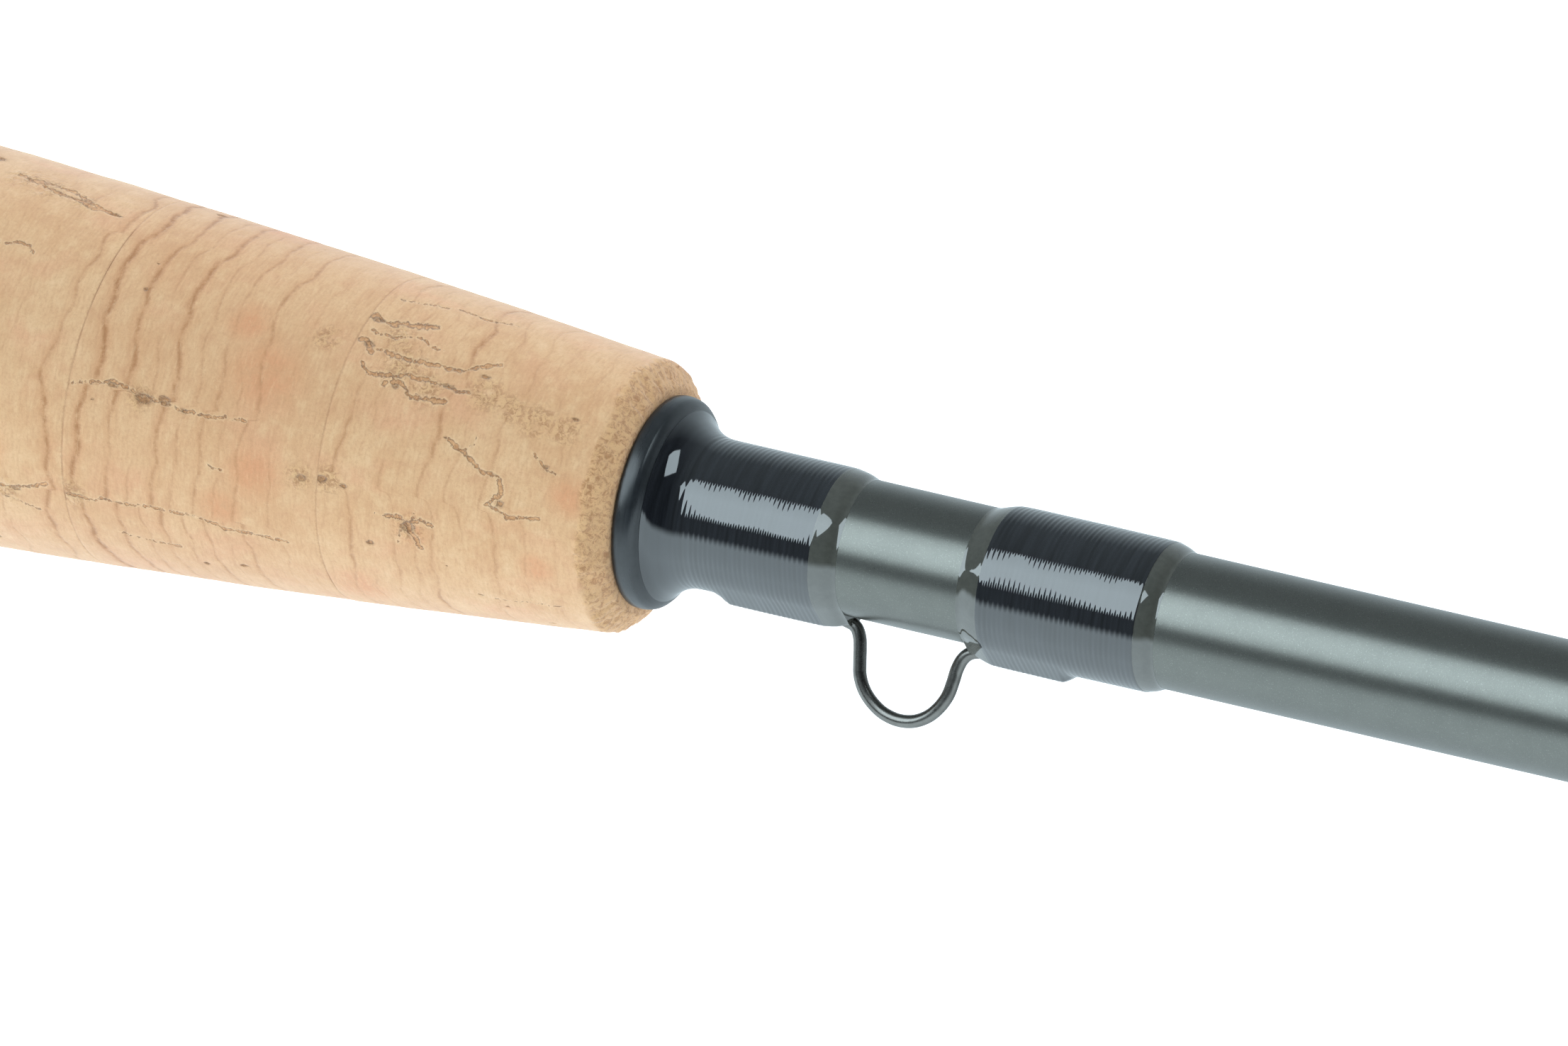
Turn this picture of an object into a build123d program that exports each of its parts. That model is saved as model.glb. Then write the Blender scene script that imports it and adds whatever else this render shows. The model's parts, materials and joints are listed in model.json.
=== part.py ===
from build123d import *
import math
import os

# Two-piece spinning rod, in millimetres.
# X runs along the rod from the butt to the tip, on the blank's axis. The rod lies on its side:
# the guides, the hook keeper and the reel foot point to -Y, and +Z is up.
# The origin is the centre of the flat end of the butt cap.

os.makedirs("parts", exist_ok=True)

# Overall layout
ROD_LENGTH = 1680.0
BUTT_CAP_LENGTH = 18.0
CORK_RING_LENGTH = 12.7
FRONT_CORK_RING_LENGTH = 13.7
REAR_GRIP_RINGS = 10
FOREGRIP_RINGS = 6
TRIM_LENGTH = 2.5
SEAT_LENGTH = 110.0

REAR_GRIP_START = BUTT_CAP_LENGTH
TRIM_START = REAR_GRIP_START + REAR_GRIP_RINGS * CORK_RING_LENGTH
SEAT_START = TRIM_START + TRIM_LENGTH
FOREGRIP_START = SEAT_START + SEAT_LENGTH
CHECK_FACE = FOREGRIP_START + (FOREGRIP_RINGS - 1) * CORK_RING_LENGTH + FRONT_CORK_RING_LENGTH

# Clearances
GLUE_GAP = 0.04
RUNNING_CLEARANCE = 0.07

# Blank: two tapered tubes that meet at a spigot ferrule
KEEPER_STATION = CHECK_FACE + 6.4
KEEPER_BLANK_RADIUS = 3.2
BUTT_TAPER = 0.0023
BLANK_START = 5.0
BUTT_SECTION_END = 840.0
FERRULE_GAP = 4.0
TIP_SECTION_START = BUTT_SECTION_END + FERRULE_GAP
TIP_SECTION_END = ROD_LENGTH - 4.0
TIP_RADIUS = 0.75
BUTT_WALL = 0.9
FERRULE_WALL = 0.55
TIP_WALL = 0.35
SPIGOT_IN_BUTT = 48.0
SPIGOT_IN_TIP = 46.0

# Cork
REAR_GRIP_MAX_RADIUS = 13.5
REAR_GRIP_MIN_RADIUS = 11.3
GRIP_FRONT_RADIUS = 6.3
GRIP_FLARE = 6.6
GRIP_FLARE_LENGTH = 60.0
GRIP_FRONT_CHAMFER = 1.1
BUTT_FACE_FILLET = 4.0

# Reel seat
SEAT_RADIUS = 9.3
SEAT_BORE_RADIUS = 8.0
ARBOR_LENGTH = 34.0
HOOD_RADIUS = 10.5
HOOD_LENGTH = 22.0
HOOD_END_WALL = 3.0
HOOD_HEIGHT = 15.4
HOOD_WALL = 1.2
HOOD_WIDTH = 16.4
HOOD_TRAVEL = 24.0
NUT_RADIUS = 11.3
NUT_LENGTH = 11.0
NUT_FLUTES = 20
KEY_WIDTH = 2.0
KEY_DEPTH = 0.5
NUT_FRONT_MARGIN = 2.0

# Winding check and hook keeper
CHECK_LENGTH = 2.2
CHECK_RIM_RADIUS = 5.0
CHECK_NOSE_RADIUS = 3.65
KEEPER_WIRE_RADIUS = 0.31
KEEPER_HEIGHT = 7.44
KEEPER_FOOT_WIDTH = 0.9
KEEPER_FOOT_THICKNESS = 0.42

# Thread wraps under epoxy finish
THREAD_THICKNESS = 0.2
FINISH_THICKNESS = 0.32
FINISH_OVERLAP = 1.1
FINISH_TAPER = 0.9
FOOT_BULGE = 0.42

# Guides: station, ceramic ring radius, height of the ring centre above the rod's axis, feet
GUIDES = [
    (700.0, 12.4, 25.0, 2),
    (955.0, 8.0, 17.5, 2),
    (1150.0, 6.0, 12.5, 1),
    (1308.0, 5.0, 10.0, 1),
    (1438.0, 4.0, 8.0, 1),
    (1542.0, 3.5, 7.0, 1),
]
TIP_RING_RADIUS = 3.0
TIP_RING_HEIGHT = 4.3
TIP_TUBE_LENGTH = 9.0


def blank_radius(x):
    """Outer radius of the blank at a station along the rod."""
    if x <= BUTT_SECTION_END:
        return KEEPER_BLANK_RADIUS - BUTT_TAPER * (x - KEEPER_STATION)
    ferrule_radius = KEEPER_BLANK_RADIUS - BUTT_TAPER * (BUTT_SECTION_END - KEEPER_STATION)
    along = (x - BUTT_SECTION_END) / (TIP_SECTION_END - BUTT_SECTION_END)
    return ferrule_radius + (TIP_RADIUS - ferrule_radius) * along


def blank_wall(x):
    """Wall thickness of the blank, thinning from butt to tip."""
    if x <= BUTT_SECTION_END:
        return BUTT_WALL + (FERRULE_WALL - BUTT_WALL) * x / BUTT_SECTION_END
    along = (x - BUTT_SECTION_END) / (TIP_SECTION_END - BUTT_SECTION_END)
    return FERRULE_WALL + (TIP_WALL - FERRULE_WALL) * along


def rear_grip_radius(x):
    """Rear grip: full at the butt and slimmer towards the reel seat."""
    along = (x - REAR_GRIP_START) / (TRIM_START - REAR_GRIP_START)
    return REAR_GRIP_MIN_RADIUS + (REAR_GRIP_MAX_RADIUS - REAR_GRIP_MIN_RADIUS) * (1.0 - along) ** 2


def foregrip_radius(x):
    """Foregrip: a taper that steepens towards the winding check."""
    behind_check = CHECK_FACE - x
    return GRIP_FRONT_RADIUS + GRIP_FLARE * (1.0 - math.exp(-behind_check / GRIP_FLARE_LENGTH))


def finish(piece, name):
    """Label a finished part and write its STEP file."""
    piece.part.label = name
    export_step(piece.part, f"parts/{name}.step")


def turned(name, outline):
    """A piece turned about the rod's axis from its half outline of (x, radius) points."""
    with BuildPart() as piece:
        with BuildSketch(Plane.XY):
            with BuildLine():
                Polyline(*outline, close=True)
            make_face()
        revolve(axis=Axis.X)
    finish(piece, name)


def blank_section(name, start, end):
    """One hollow tapered section of the blank."""
    turned(name, [
        (start, blank_radius(start) - blank_wall(start)),
        (start, blank_radius(start)),
        (end, blank_radius(end)),
        (end, blank_radius(end) - blank_wall(end)),
    ])


# --- Blank and ferrule ---

blank_section("blank_butt_section", BLANK_START, BUTT_SECTION_END)
blank_section("blank_tip_section", TIP_SECTION_START, TIP_SECTION_END)


def spigot_radius(x):
    return blank_radius(x) - blank_wall(x) - RUNNING_CLEARANCE


spigot_start = BUTT_SECTION_END - SPIGOT_IN_BUTT
spigot_end = TIP_SECTION_START + SPIGOT_IN_TIP
turned("ferrule_spigot", [
    (spigot_start, 0.0),
    (spigot_start, spigot_radius(spigot_start)),
    (BUTT_SECTION_END, spigot_radius(BUTT_SECTION_END)),
    (TIP_SECTION_START, spigot_radius(TIP_SECTION_START)),
    (spigot_end, spigot_radius(spigot_end)),
    (spigot_end, 0.0),
])

# --- Butt cap ---

with BuildPart() as butt_cap:
    with BuildSketch(Plane.YZ):
        Circle(REAR_GRIP_MAX_RADIUS)
    extrude(amount=BUTT_CAP_LENGTH)
    fillet(butt_cap.edges().filter_by(GeomType.CIRCLE).sort_by(Axis.X)[0], BUTT_FACE_FILLET)
    with BuildSketch(Plane.YZ.offset(BLANK_START)):
        Circle(blank_radius(BLANK_START) + GLUE_GAP)
    extrude(amount=BUTT_CAP_LENGTH, mode=Mode.SUBTRACT)
finish(butt_cap, "butt_cap")

# --- Cork rings ---


def cork_ring(name, start, end, radius_at):
    """One cork ring, bored for the blank."""
    middle = (start + end) / 2
    turned(name, [
        (start, blank_radius(start) + GLUE_GAP),
        (start, radius_at(start)),
        (middle, radius_at(middle)),
        (end, radius_at(end)),
        (end, blank_radius(end) + GLUE_GAP),
    ])


for number in range(REAR_GRIP_RINGS):
    ring_start = REAR_GRIP_START + number * CORK_RING_LENGTH
    cork_ring(f"rear_grip_cork_{number + 1:02d}", ring_start, ring_start + CORK_RING_LENGTH, rear_grip_radius)

for number in range(FOREGRIP_RINGS - 1):
    ring_start = FOREGRIP_START + number * CORK_RING_LENGTH
    cork_ring(f"foregrip_cork_{number + 1}", ring_start, ring_start + CORK_RING_LENGTH, foregrip_radius)

front_ring_start = CHECK_FACE - FRONT_CORK_RING_LENGTH
front_ring_middle = CHECK_FACE - FRONT_CORK_RING_LENGTH / 2
chamfer_start = CHECK_FACE - GRIP_FRONT_CHAMFER
turned(f"foregrip_cork_{FOREGRIP_RINGS}", [
    (front_ring_start, blank_radius(front_ring_start) + GLUE_GAP),
    (front_ring_start, foregrip_radius(front_ring_start)),
    (front_ring_middle, foregrip_radius(front_ring_middle)),
    (chamfer_start, foregrip_radius(chamfer_start)),
    (CHECK_FACE, CHECK_RIM_RADIUS + 0.3),
    (CHECK_FACE, blank_radius(CHECK_FACE) + GLUE_GAP),
])

# --- Reel seat ---

# Trim ring between the rear grip and the reel seat
with BuildPart() as rear_trim_ring:
    with BuildSketch(Plane.YZ.offset(TRIM_START)):
        Circle(REAR_GRIP_MIN_RADIUS + 0.2)
        Circle(blank_radius(TRIM_START) + GLUE_GAP, mode=Mode.SUBTRACT)
    extrude(amount=TRIM_LENGTH)
    rim = rear_trim_ring.edges().filter_by(GeomType.CIRCLE).sort_by(SortBy.RADIUS)[-2:]
    fillet(rim, 0.6)
finish(rear_trim_ring, "rear_trim_ring")

seat_end = SEAT_START + SEAT_LENGTH
nut_start = seat_end - NUT_FRONT_MARGIN - NUT_LENGTH
sliding_hood_start = nut_start - 0.3 - HOOD_LENGTH
keyway_start = sliding_hood_start - HOOD_TRAVEL - 2.0
hood_bore_radius = SEAT_RADIUS + RUNNING_CLEARANCE

# Tubular seat body; its keyway stops the sliding hood from turning
with BuildPart() as seat_body:
    with BuildSketch(Plane.YZ.offset(SEAT_START)):
        Circle(SEAT_RADIUS)
        Circle(SEAT_BORE_RADIUS, mode=Mode.SUBTRACT)
    extrude(amount=SEAT_LENGTH)
    with BuildSketch(Plane.YZ.offset(keyway_start)):
        with Locations((SEAT_RADIUS, 0)):
            Rectangle(2 * (KEY_DEPTH + 0.1), KEY_WIDTH + 0.4)
    extrude(amount=SEAT_LENGTH, mode=Mode.SUBTRACT)
finish(seat_body, "reel_seat_body")


def seat_arbor(name, start):
    """A bushing that centres the seat body on the blank."""
    end = start + ARBOR_LENGTH
    turned(name, [
        (start, blank_radius(start) + GLUE_GAP),
        (start, SEAT_BORE_RADIUS - GLUE_GAP),
        (end, SEAT_BORE_RADIUS - GLUE_GAP),
        (end, blank_radius(end) + GLUE_GAP),
    ])


seat_arbor("seat_arbor_rear", SEAT_START + 4.0)
seat_arbor("seat_arbor_front", seat_end - 4.0 - ARBOR_LENGTH)


def reel_hood(name, start, mouth_forward, bore_radius, with_key):
    """A sleeve with a raised pocket towards -Y that holds one end of the reel foot."""
    outer_base = 8.0
    outer_depth = HOOD_HEIGHT - outer_base
    pocket_depth = outer_depth - HOOD_WALL
    pocket_start = start + HOOD_END_WALL if mouth_forward else start - 1.0
    with BuildPart() as hood:
        with BuildSketch(Plane.YZ.offset(start)):
            Circle(HOOD_RADIUS)
            with Locations((-outer_base - outer_depth / 2, 0)):
                RectangleRounded(outer_depth, HOOD_WIDTH, 2.8)
        extrude(amount=HOOD_LENGTH)
        closed_end = start if mouth_forward else start + HOOD_LENGTH
        end_edges = hood.edges().filter_by_position(Axis.X, closed_end - 0.01, closed_end + 0.01)
        fillet(end_edges, 1.0)
        with BuildSketch(Plane.YZ.offset(start)):
            Circle(bore_radius)
        extrude(amount=HOOD_LENGTH, mode=Mode.SUBTRACT)
        with BuildSketch(Plane.YZ.offset(pocket_start)):
            with Locations((-outer_base - pocket_depth / 2, 0)):
                RectangleRounded(pocket_depth, HOOD_WIDTH - 2 * HOOD_WALL, 1.6)
        extrude(amount=HOOD_LENGTH - HOOD_END_WALL + 1.0, mode=Mode.SUBTRACT)
        if with_key:
            with BuildSketch(Plane.YZ.offset(start + 2.0)):
                with Locations((bore_radius + 0.2 - KEY_DEPTH / 2, 0)):
                    Rectangle(KEY_DEPTH + 0.4, KEY_WIDTH)
            extrude(amount=HOOD_LENGTH - 4.0)
    finish(hood, name)


reel_hood("fixed_hood", SEAT_START, True, SEAT_RADIUS + GLUE_GAP, False)
reel_hood("sliding_hood", sliding_hood_start, False, hood_bore_radius, True)

# Lock nut that drives the sliding hood along the seat
with BuildPart() as lock_nut:
    with BuildSketch(Plane.YZ.offset(nut_start)):
        Circle(NUT_RADIUS)
    extrude(amount=NUT_LENGTH)
    fillet(lock_nut.edges().filter_by(GeomType.CIRCLE), 0.8)
    with BuildSketch(Plane.YZ.offset(nut_start + 2.2)):
        with PolarLocations(NUT_RADIUS + 0.55, NUT_FLUTES):
            Circle(1.1)
    extrude(amount=NUT_LENGTH - 4.4, mode=Mode.SUBTRACT)
    with BuildSketch(Plane.YZ.offset(nut_start)):
        Circle(hood_bore_radius)
    extrude(amount=NUT_LENGTH, mode=Mode.SUBTRACT)
finish(lock_nut, "lock_nut")

# --- Winding check ---

with BuildPart() as winding_check:
    check_bore = blank_radius(CHECK_FACE) + GLUE_GAP
    with BuildSketch(Plane.XY):
        with BuildLine():
            Line((CHECK_FACE, check_bore), (CHECK_FACE, CHECK_RIM_RADIUS - 0.25))
            ThreePointArc(
                (CHECK_FACE, CHECK_RIM_RADIUS - 0.25),
                (CHECK_FACE + 0.35, CHECK_RIM_RADIUS),
                (CHECK_FACE + 1.0, CHECK_RIM_RADIUS - 0.15),
            )
            Polyline(
                (CHECK_FACE + 1.0, CHECK_RIM_RADIUS - 0.15),
                (CHECK_FACE + 1.5, CHECK_RIM_RADIUS - 0.6),
                (CHECK_FACE + CHECK_LENGTH, CHECK_NOSE_RADIUS),
                (CHECK_FACE + CHECK_LENGTH, check_bore),
                (CHECK_FACE, check_bore),
            )
        make_face()
    revolve(axis=Axis.X)
finish(winding_check, "winding_check")

# --- Hook keeper: a bent wire whose two flattened feet lie under thread wraps ---

rear_foot_start = KEEPER_STATION - 2.5
rear_foot_end = KEEPER_STATION + 3.7
front_foot_start = KEEPER_STATION + 10.7
front_foot_end = KEEPER_STATION + 15.0
foot_base = -(blank_radius(rear_foot_start) + 0.02)
foot_middle = foot_base - KEEPER_FOOT_THICKNESS / 2
wire_base = foot_base - KEEPER_WIRE_RADIUS - 0.01

with BuildPart() as hook_keeper:
    with BuildLine():
        FilletPolyline(
            (rear_foot_end - 0.3, wire_base),
            (KEEPER_STATION + 4.4, wire_base),
            (KEEPER_STATION + 4.75, -KEEPER_HEIGHT),
            (KEEPER_STATION + 9.2, -KEEPER_HEIGHT),
            (KEEPER_STATION + 9.75, wire_base),
            (front_foot_start + 0.3, wire_base),
            radius=(0.4, 2.0, 2.0, 0.5),
        )
    with BuildSketch(Plane(origin=(rear_foot_end - 0.3, wire_base, 0), z_dir=(1, 0, 0))):
        Circle(KEEPER_WIRE_RADIUS)
    sweep()
    for foot_start, foot_end in ((rear_foot_start, rear_foot_end), (front_foot_start, front_foot_end)):
        with BuildSketch(Plane.YZ.offset(foot_start)):
            with Locations((foot_middle, 0)):
                RectangleRounded(KEEPER_FOOT_THICKNESS, KEEPER_FOOT_WIDTH, 0.15)
        extrude(amount=foot_end - foot_start)
finish(hook_keeper, "hook_keeper")


def wrap_outline(start, end, thickness, taper):
    """Half outline of a wrap around the blank, tapered at its ends, as (x, radius) points."""
    return [
        (start, 0.0),
        (start, blank_radius(start) + 0.05),
        (start + taper, blank_radius(start + taper) + thickness),
        (end - taper, blank_radius(end - taper) + thickness),
        (end, blank_radius(end) + 0.05),
        (end, 0.0),
    ]


def blank_bore_outline(start, end):
    """Half outline of the space that the blank fills, a little longer than the wrap."""
    return [
        (start - 1.0, 0.0),
        (start - 1.0, blank_radius(start - 1.0) + 0.01),
        (end + 1.0, blank_radius(end + 1.0) + 0.01),
        (end + 1.0, 0.0),
    ]


def keeper_wrap(name, start, end, foot):
    """Thread turns that bind one keeper foot to the blank."""
    foot_start, foot_end = foot
    with BuildPart() as wrap:
        with BuildSketch(Plane.XY):
            with BuildLine():
                Polyline(*wrap_outline(start, end, THREAD_THICKNESS, 0.1), close=True)
            make_face()
        revolve(axis=Axis.X)
        with BuildSketch(Plane.XY):
            with BuildLine():
                Polyline(*blank_bore_outline(start, end), close=True)
            make_face()
        revolve(axis=Axis.X, mode=Mode.SUBTRACT)
        with BuildSketch(Plane.YZ.offset(foot_start - 0.05)):
            with Locations((foot_middle, 0)):
                Rectangle(KEEPER_FOOT_THICKNESS + 0.6, KEEPER_FOOT_WIDTH + 0.04)
        extrude(amount=foot_end - foot_start + 0.1, mode=Mode.SUBTRACT)
    finish(wrap, name)


def keeper_finish(name, start, end, thread, foot, wire_slot):
    """Clear finish over one keeper wrap: a shell around the thread, open where the wire comes out."""
    foot_start, foot_end = foot
    thread_start, thread_end = thread
    slot_start, slot_end = wire_slot
    top = blank_radius(start) + FINISH_THICKNESS + FOOT_BULGE
    bulge_start = max(foot_start, start + FINISH_TAPER)
    bulge_end = min(foot_end, end - FINISH_TAPER)
    with BuildPart() as coat:
        with BuildSketch(Plane.XY):
            with BuildLine():
                Polyline(*wrap_outline(start, end, FINISH_THICKNESS, FINISH_TAPER), close=True)
            make_face()
        revolve(axis=Axis.X)
        with BuildSketch(Plane.YZ.offset(bulge_start)):
            with Locations((-top / 2, 0)):
                RectangleRounded(top, KEEPER_FOOT_WIDTH + 0.8, 0.3)
        extrude(amount=bulge_end - bulge_start)
        with BuildSketch(Plane.XY):
            with BuildLine():
                Polyline(*blank_bore_outline(start, end), close=True)
            make_face()
        revolve(axis=Axis.X, mode=Mode.SUBTRACT)
        with BuildSketch(Plane.YZ.offset(thread_start - 0.02)):
            Circle(blank_radius(thread_start) + THREAD_THICKNESS + 0.02)
        extrude(amount=thread_end - thread_start + 0.04, mode=Mode.SUBTRACT)
        with BuildSketch(Plane.YZ.offset(foot_start - 0.05)):
            with Locations((foot_middle, 0)):
                Rectangle(KEEPER_FOOT_THICKNESS + 0.2, KEEPER_FOOT_WIDTH + 0.04)
        extrude(amount=foot_end - foot_start + 0.1, mode=Mode.SUBTRACT)
        with BuildSketch(Plane.YZ.offset(slot_start)):
            with Locations((foot_base - 0.9, 0)):
                Rectangle(2.4, KEEPER_FOOT_WIDTH + 0.04)
        extrude(amount=slot_end - slot_start, mode=Mode.SUBTRACT)
    finish(coat, name)


rear_foot = (rear_foot_start, rear_foot_end)
front_foot = (front_foot_start, front_foot_end)
rear_thread = (CHECK_FACE + CHECK_LENGTH + 0.05, KEEPER_STATION + 3.0)
front_thread = (KEEPER_STATION + 11.3, KEEPER_STATION + 19.1)
rear_finish_end = rear_thread[1] + FINISH_OVERLAP
front_finish_start = front_thread[0] - FINISH_OVERLAP
keeper_wrap("keeper_wrap_rear", *rear_thread, rear_foot)
keeper_wrap("keeper_wrap_front", *front_thread, front_foot)
keeper_finish(
    "keeper_finish_rear", rear_thread[0], rear_finish_end,
    rear_thread, rear_foot, (rear_thread[1] + 0.3, rear_finish_end + 1.0),
)
keeper_finish(
    "keeper_finish_front", front_finish_start, front_thread[1] + FINISH_OVERLAP,
    front_thread, front_foot, (front_finish_start - 1.0, front_thread[0] + 0.4),
)

# --- Ferrule wraps: bands of bound thread that keep both tube ends from splitting ---

for name, start, end in (
    ("ferrule_wrap_butt", BUTT_SECTION_END - 32.0, BUTT_SECTION_END - 0.3),
    ("ferrule_wrap_tip", TIP_SECTION_START + 0.3, TIP_SECTION_START + 38.0),
):
    turned(name, [
        (start, blank_radius(start) + 0.01),
        (start + FINISH_TAPER, blank_radius(start) + FINISH_THICKNESS),
        (end - FINISH_TAPER, blank_radius(end) + FINISH_THICKNESS),
        (end, blank_radius(end) + 0.01),
    ])

# --- Guides ---


def ceramic_ring(name, station, ring_radius, height):
    """The hard insert ring that the line runs through."""
    ring_wall = 0.85 + 0.11 * ring_radius
    ring_width = 1.3 + 0.06 * ring_radius
    with BuildPart() as ring:
        with BuildSketch(Plane.YZ.offset(station - ring_width / 2)):
            with Locations((-height, 0)):
                Circle(ring_radius)
                Circle(ring_radius - ring_wall, mode=Mode.SUBTRACT)
        extrude(amount=ring_width)
        fillet(ring.edges().filter_by(GeomType.CIRCLE), ring_width * 0.3)
    finish(ring, name)


def guide_sizes(station, ring_radius, height):
    """Sizes that a guide's frame and wraps share."""
    return {
        "wire": 0.34 + 0.022 * ring_radius,
        "foot_width": 1.1 + 0.08 * ring_radius,
        "foot_length": 6.5 + 0.45 * ring_radius,
        "foot_heel": 0.6 + 0.02 * ring_radius,
        "leg_reach": 0.42 * height,
        "foot_y": -(blank_radius(station - height) + 0.04),
    }


def guide_frame(name, station, ring_radius, height, feet):
    """A wire-and-band guide frame: two raked legs to the butt side, one more to the tip side if it has two feet."""
    sizes = guide_sizes(station, ring_radius, height)
    band_inner = ring_radius + 0.03
    band_outer = ring_radius + 0.8
    wire = sizes["wire"]
    foot_y = sizes["foot_y"]
    spread = math.radians(50)
    leg_ends = []
    for side in (-1, 1):
        band_middle = (band_inner + band_outer) / 2 + 0.1
        top = Vector(station, -height + band_middle * math.cos(spread), side * band_middle * math.sin(spread))
        heel = Vector(station - sizes["leg_reach"], foot_y - wire * 0.9, side * sizes["foot_width"] * 0.22)
        leg_ends.append((top, heel))
    if feet == 2:
        top = Vector(station, -height + band_inner + 0.45, 0)
        heel = Vector(station + sizes["leg_reach"], foot_y - wire * 0.9, 0)
        leg_ends.append((top, heel))
    with BuildPart() as frame:
        with BuildSketch(Plane.YZ.offset(station - 0.6)):
            with Locations((-height, 0)):
                Circle(band_outer)
        extrude(amount=1.2)
        for top, heel in leg_ends:
            with BuildSketch(Plane(origin=top, z_dir=heel - top)):
                Circle(wire)
            extrude(amount=(heel - top).length)
        for direction in (-1, 1)[:feet]:
            heel_x = station + direction * (sizes["leg_reach"] - 0.9)
            toe_x = heel_x + direction * sizes["foot_length"]
            with BuildSketch(Plane.XY.offset(-sizes["foot_width"] / 2)):
                with BuildLine():
                    Polyline(
                        (heel_x, foot_y),
                        (heel_x, foot_y - sizes["foot_heel"] * 0.8),
                        (heel_x + direction * 1.6, foot_y - sizes["foot_heel"]),
                        (toe_x, foot_y - 0.18),
                        (toe_x, foot_y),
                        close=True,
                    )
                make_face()
            extrude(amount=sizes["foot_width"])
        with BuildSketch(Plane.YZ.offset(station - 2.0)):
            with Locations((-height, 0)):
                Circle(band_inner)
        extrude(amount=4.0, mode=Mode.SUBTRACT)
    finish(frame, name)


def guide_wraps(name, station, ring_radius, height, feet):
    """Thread wraps and finish over each foot of one guide."""
    sizes = guide_sizes(station, ring_radius, height)
    foot_y = sizes["foot_y"]
    heel_height = sizes["foot_heel"]
    with BuildPart() as wraps:
        for direction in (-1, 1)[:feet]:
            near = station + direction * (sizes["leg_reach"] + 1.2)
            far = station + direction * (sizes["leg_reach"] + sizes["foot_length"] + 1.6)
            start, end = min(near, far), max(near, far)
            with BuildSketch(Plane.XY):
                with BuildLine():
                    Polyline(*wrap_outline(start, end, FINISH_THICKNESS, FINISH_TAPER), close=True)
                make_face()
            revolve(axis=Axis.X)
            bulge_top = -foot_y + heel_height + 0.25
            with BuildSketch(Plane.YZ.offset(start + 0.5)):
                with Locations((-bulge_top / 2, 0)):
                    RectangleRounded(bulge_top, sizes["foot_width"] + 0.9, 0.4)
            extrude(amount=end - start - 1.0)
            with BuildSketch(Plane.XY):
                with BuildLine():
                    Polyline(*blank_bore_outline(start, end), close=True)
                make_face()
            revolve(axis=Axis.X, mode=Mode.SUBTRACT)
            foot_near = station + direction * (sizes["leg_reach"] - 0.95)
            foot_far = foot_near + direction * (sizes["foot_length"] + 0.1)
            foot_low, foot_high = min(foot_near, foot_far), max(foot_near, foot_far)
            with BuildSketch(Plane.YZ.offset(foot_low)):
                with Locations((foot_y - heel_height / 2 + 0.1, 0)):
                    Rectangle(heel_height + 0.25, sizes["foot_width"] + 0.06)
            extrude(amount=foot_high - foot_low, mode=Mode.SUBTRACT)
    finish(wraps, name)


for number, (station, ring_radius, height, feet) in enumerate(GUIDES, start=1):
    ceramic_ring(f"guide_{number}_ring", station, ring_radius, height)
    guide_frame(f"guide_{number}_frame", station, ring_radius, height, feet)
    guide_wraps(f"guide_{number}_wraps", station, ring_radius, height, feet)

# --- Tip top ---

tip_ring_station = ROD_LENGTH - 1.3
tube_start = TIP_SECTION_END - TIP_TUBE_LENGTH
tube_bore = blank_radius(tube_start) + GLUE_GAP
tube_radius = tube_bore + 0.35
tube_end = TIP_SECTION_END + 1.0
ceramic_ring("tip_top_ring", tip_ring_station, TIP_RING_RADIUS, TIP_RING_HEIGHT)

with BuildPart() as tip_top_frame:
    with BuildSketch(Plane.YZ.offset(tip_ring_station - 0.6)):
        with Locations((-TIP_RING_HEIGHT, 0)):
            Circle(TIP_RING_RADIUS + 0.7)
    extrude(amount=1.2)
    with BuildSketch(Plane.YZ.offset(tube_start)):
        Circle(tube_radius)
    extrude(amount=tube_end - tube_start)
    for side in (-1, 1):
        brace_top = Vector(tip_ring_station, -TIP_RING_HEIGHT - 0.4, side * (TIP_RING_RADIUS + 0.35))
        brace_foot = Vector(tube_start + 2.0, -tube_radius + 0.2, side * 0.45)
        with BuildSketch(Plane(origin=brace_foot, z_dir=brace_top - brace_foot)):
            Circle(0.33)
        extrude(amount=(brace_top - brace_foot).length)
    with BuildSketch(Plane.YZ.offset(tip_ring_station - 2.0)):
        with Locations((-TIP_RING_HEIGHT, 0)):
            Circle(TIP_RING_RADIUS + 0.03)
    extrude(amount=4.0, mode=Mode.SUBTRACT)
    with BuildSketch(Plane.YZ.offset(tube_start - 1.0)):
        Circle(tube_bore)
    extrude(amount=TIP_SECTION_END - tube_start + 1.0 + GLUE_GAP, mode=Mode.SUBTRACT)
finish(tip_top_frame, "tip_top_frame")

tip_wrap_start = tube_start - 6.0
turned("tip_top_wrap", [
    (tip_wrap_start, blank_radius(tip_wrap_start) + 0.01),
    (tip_wrap_start + FINISH_TAPER, blank_radius(tip_wrap_start) + 0.4),
    (tube_start - 0.05, blank_radius(tube_start) + 0.45),
    (tube_start - 0.05, blank_radius(tube_start) + 0.01),
])
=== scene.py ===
import json
import math

import bpy
import numpy as np
from mathutils import Matrix, Vector


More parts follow.
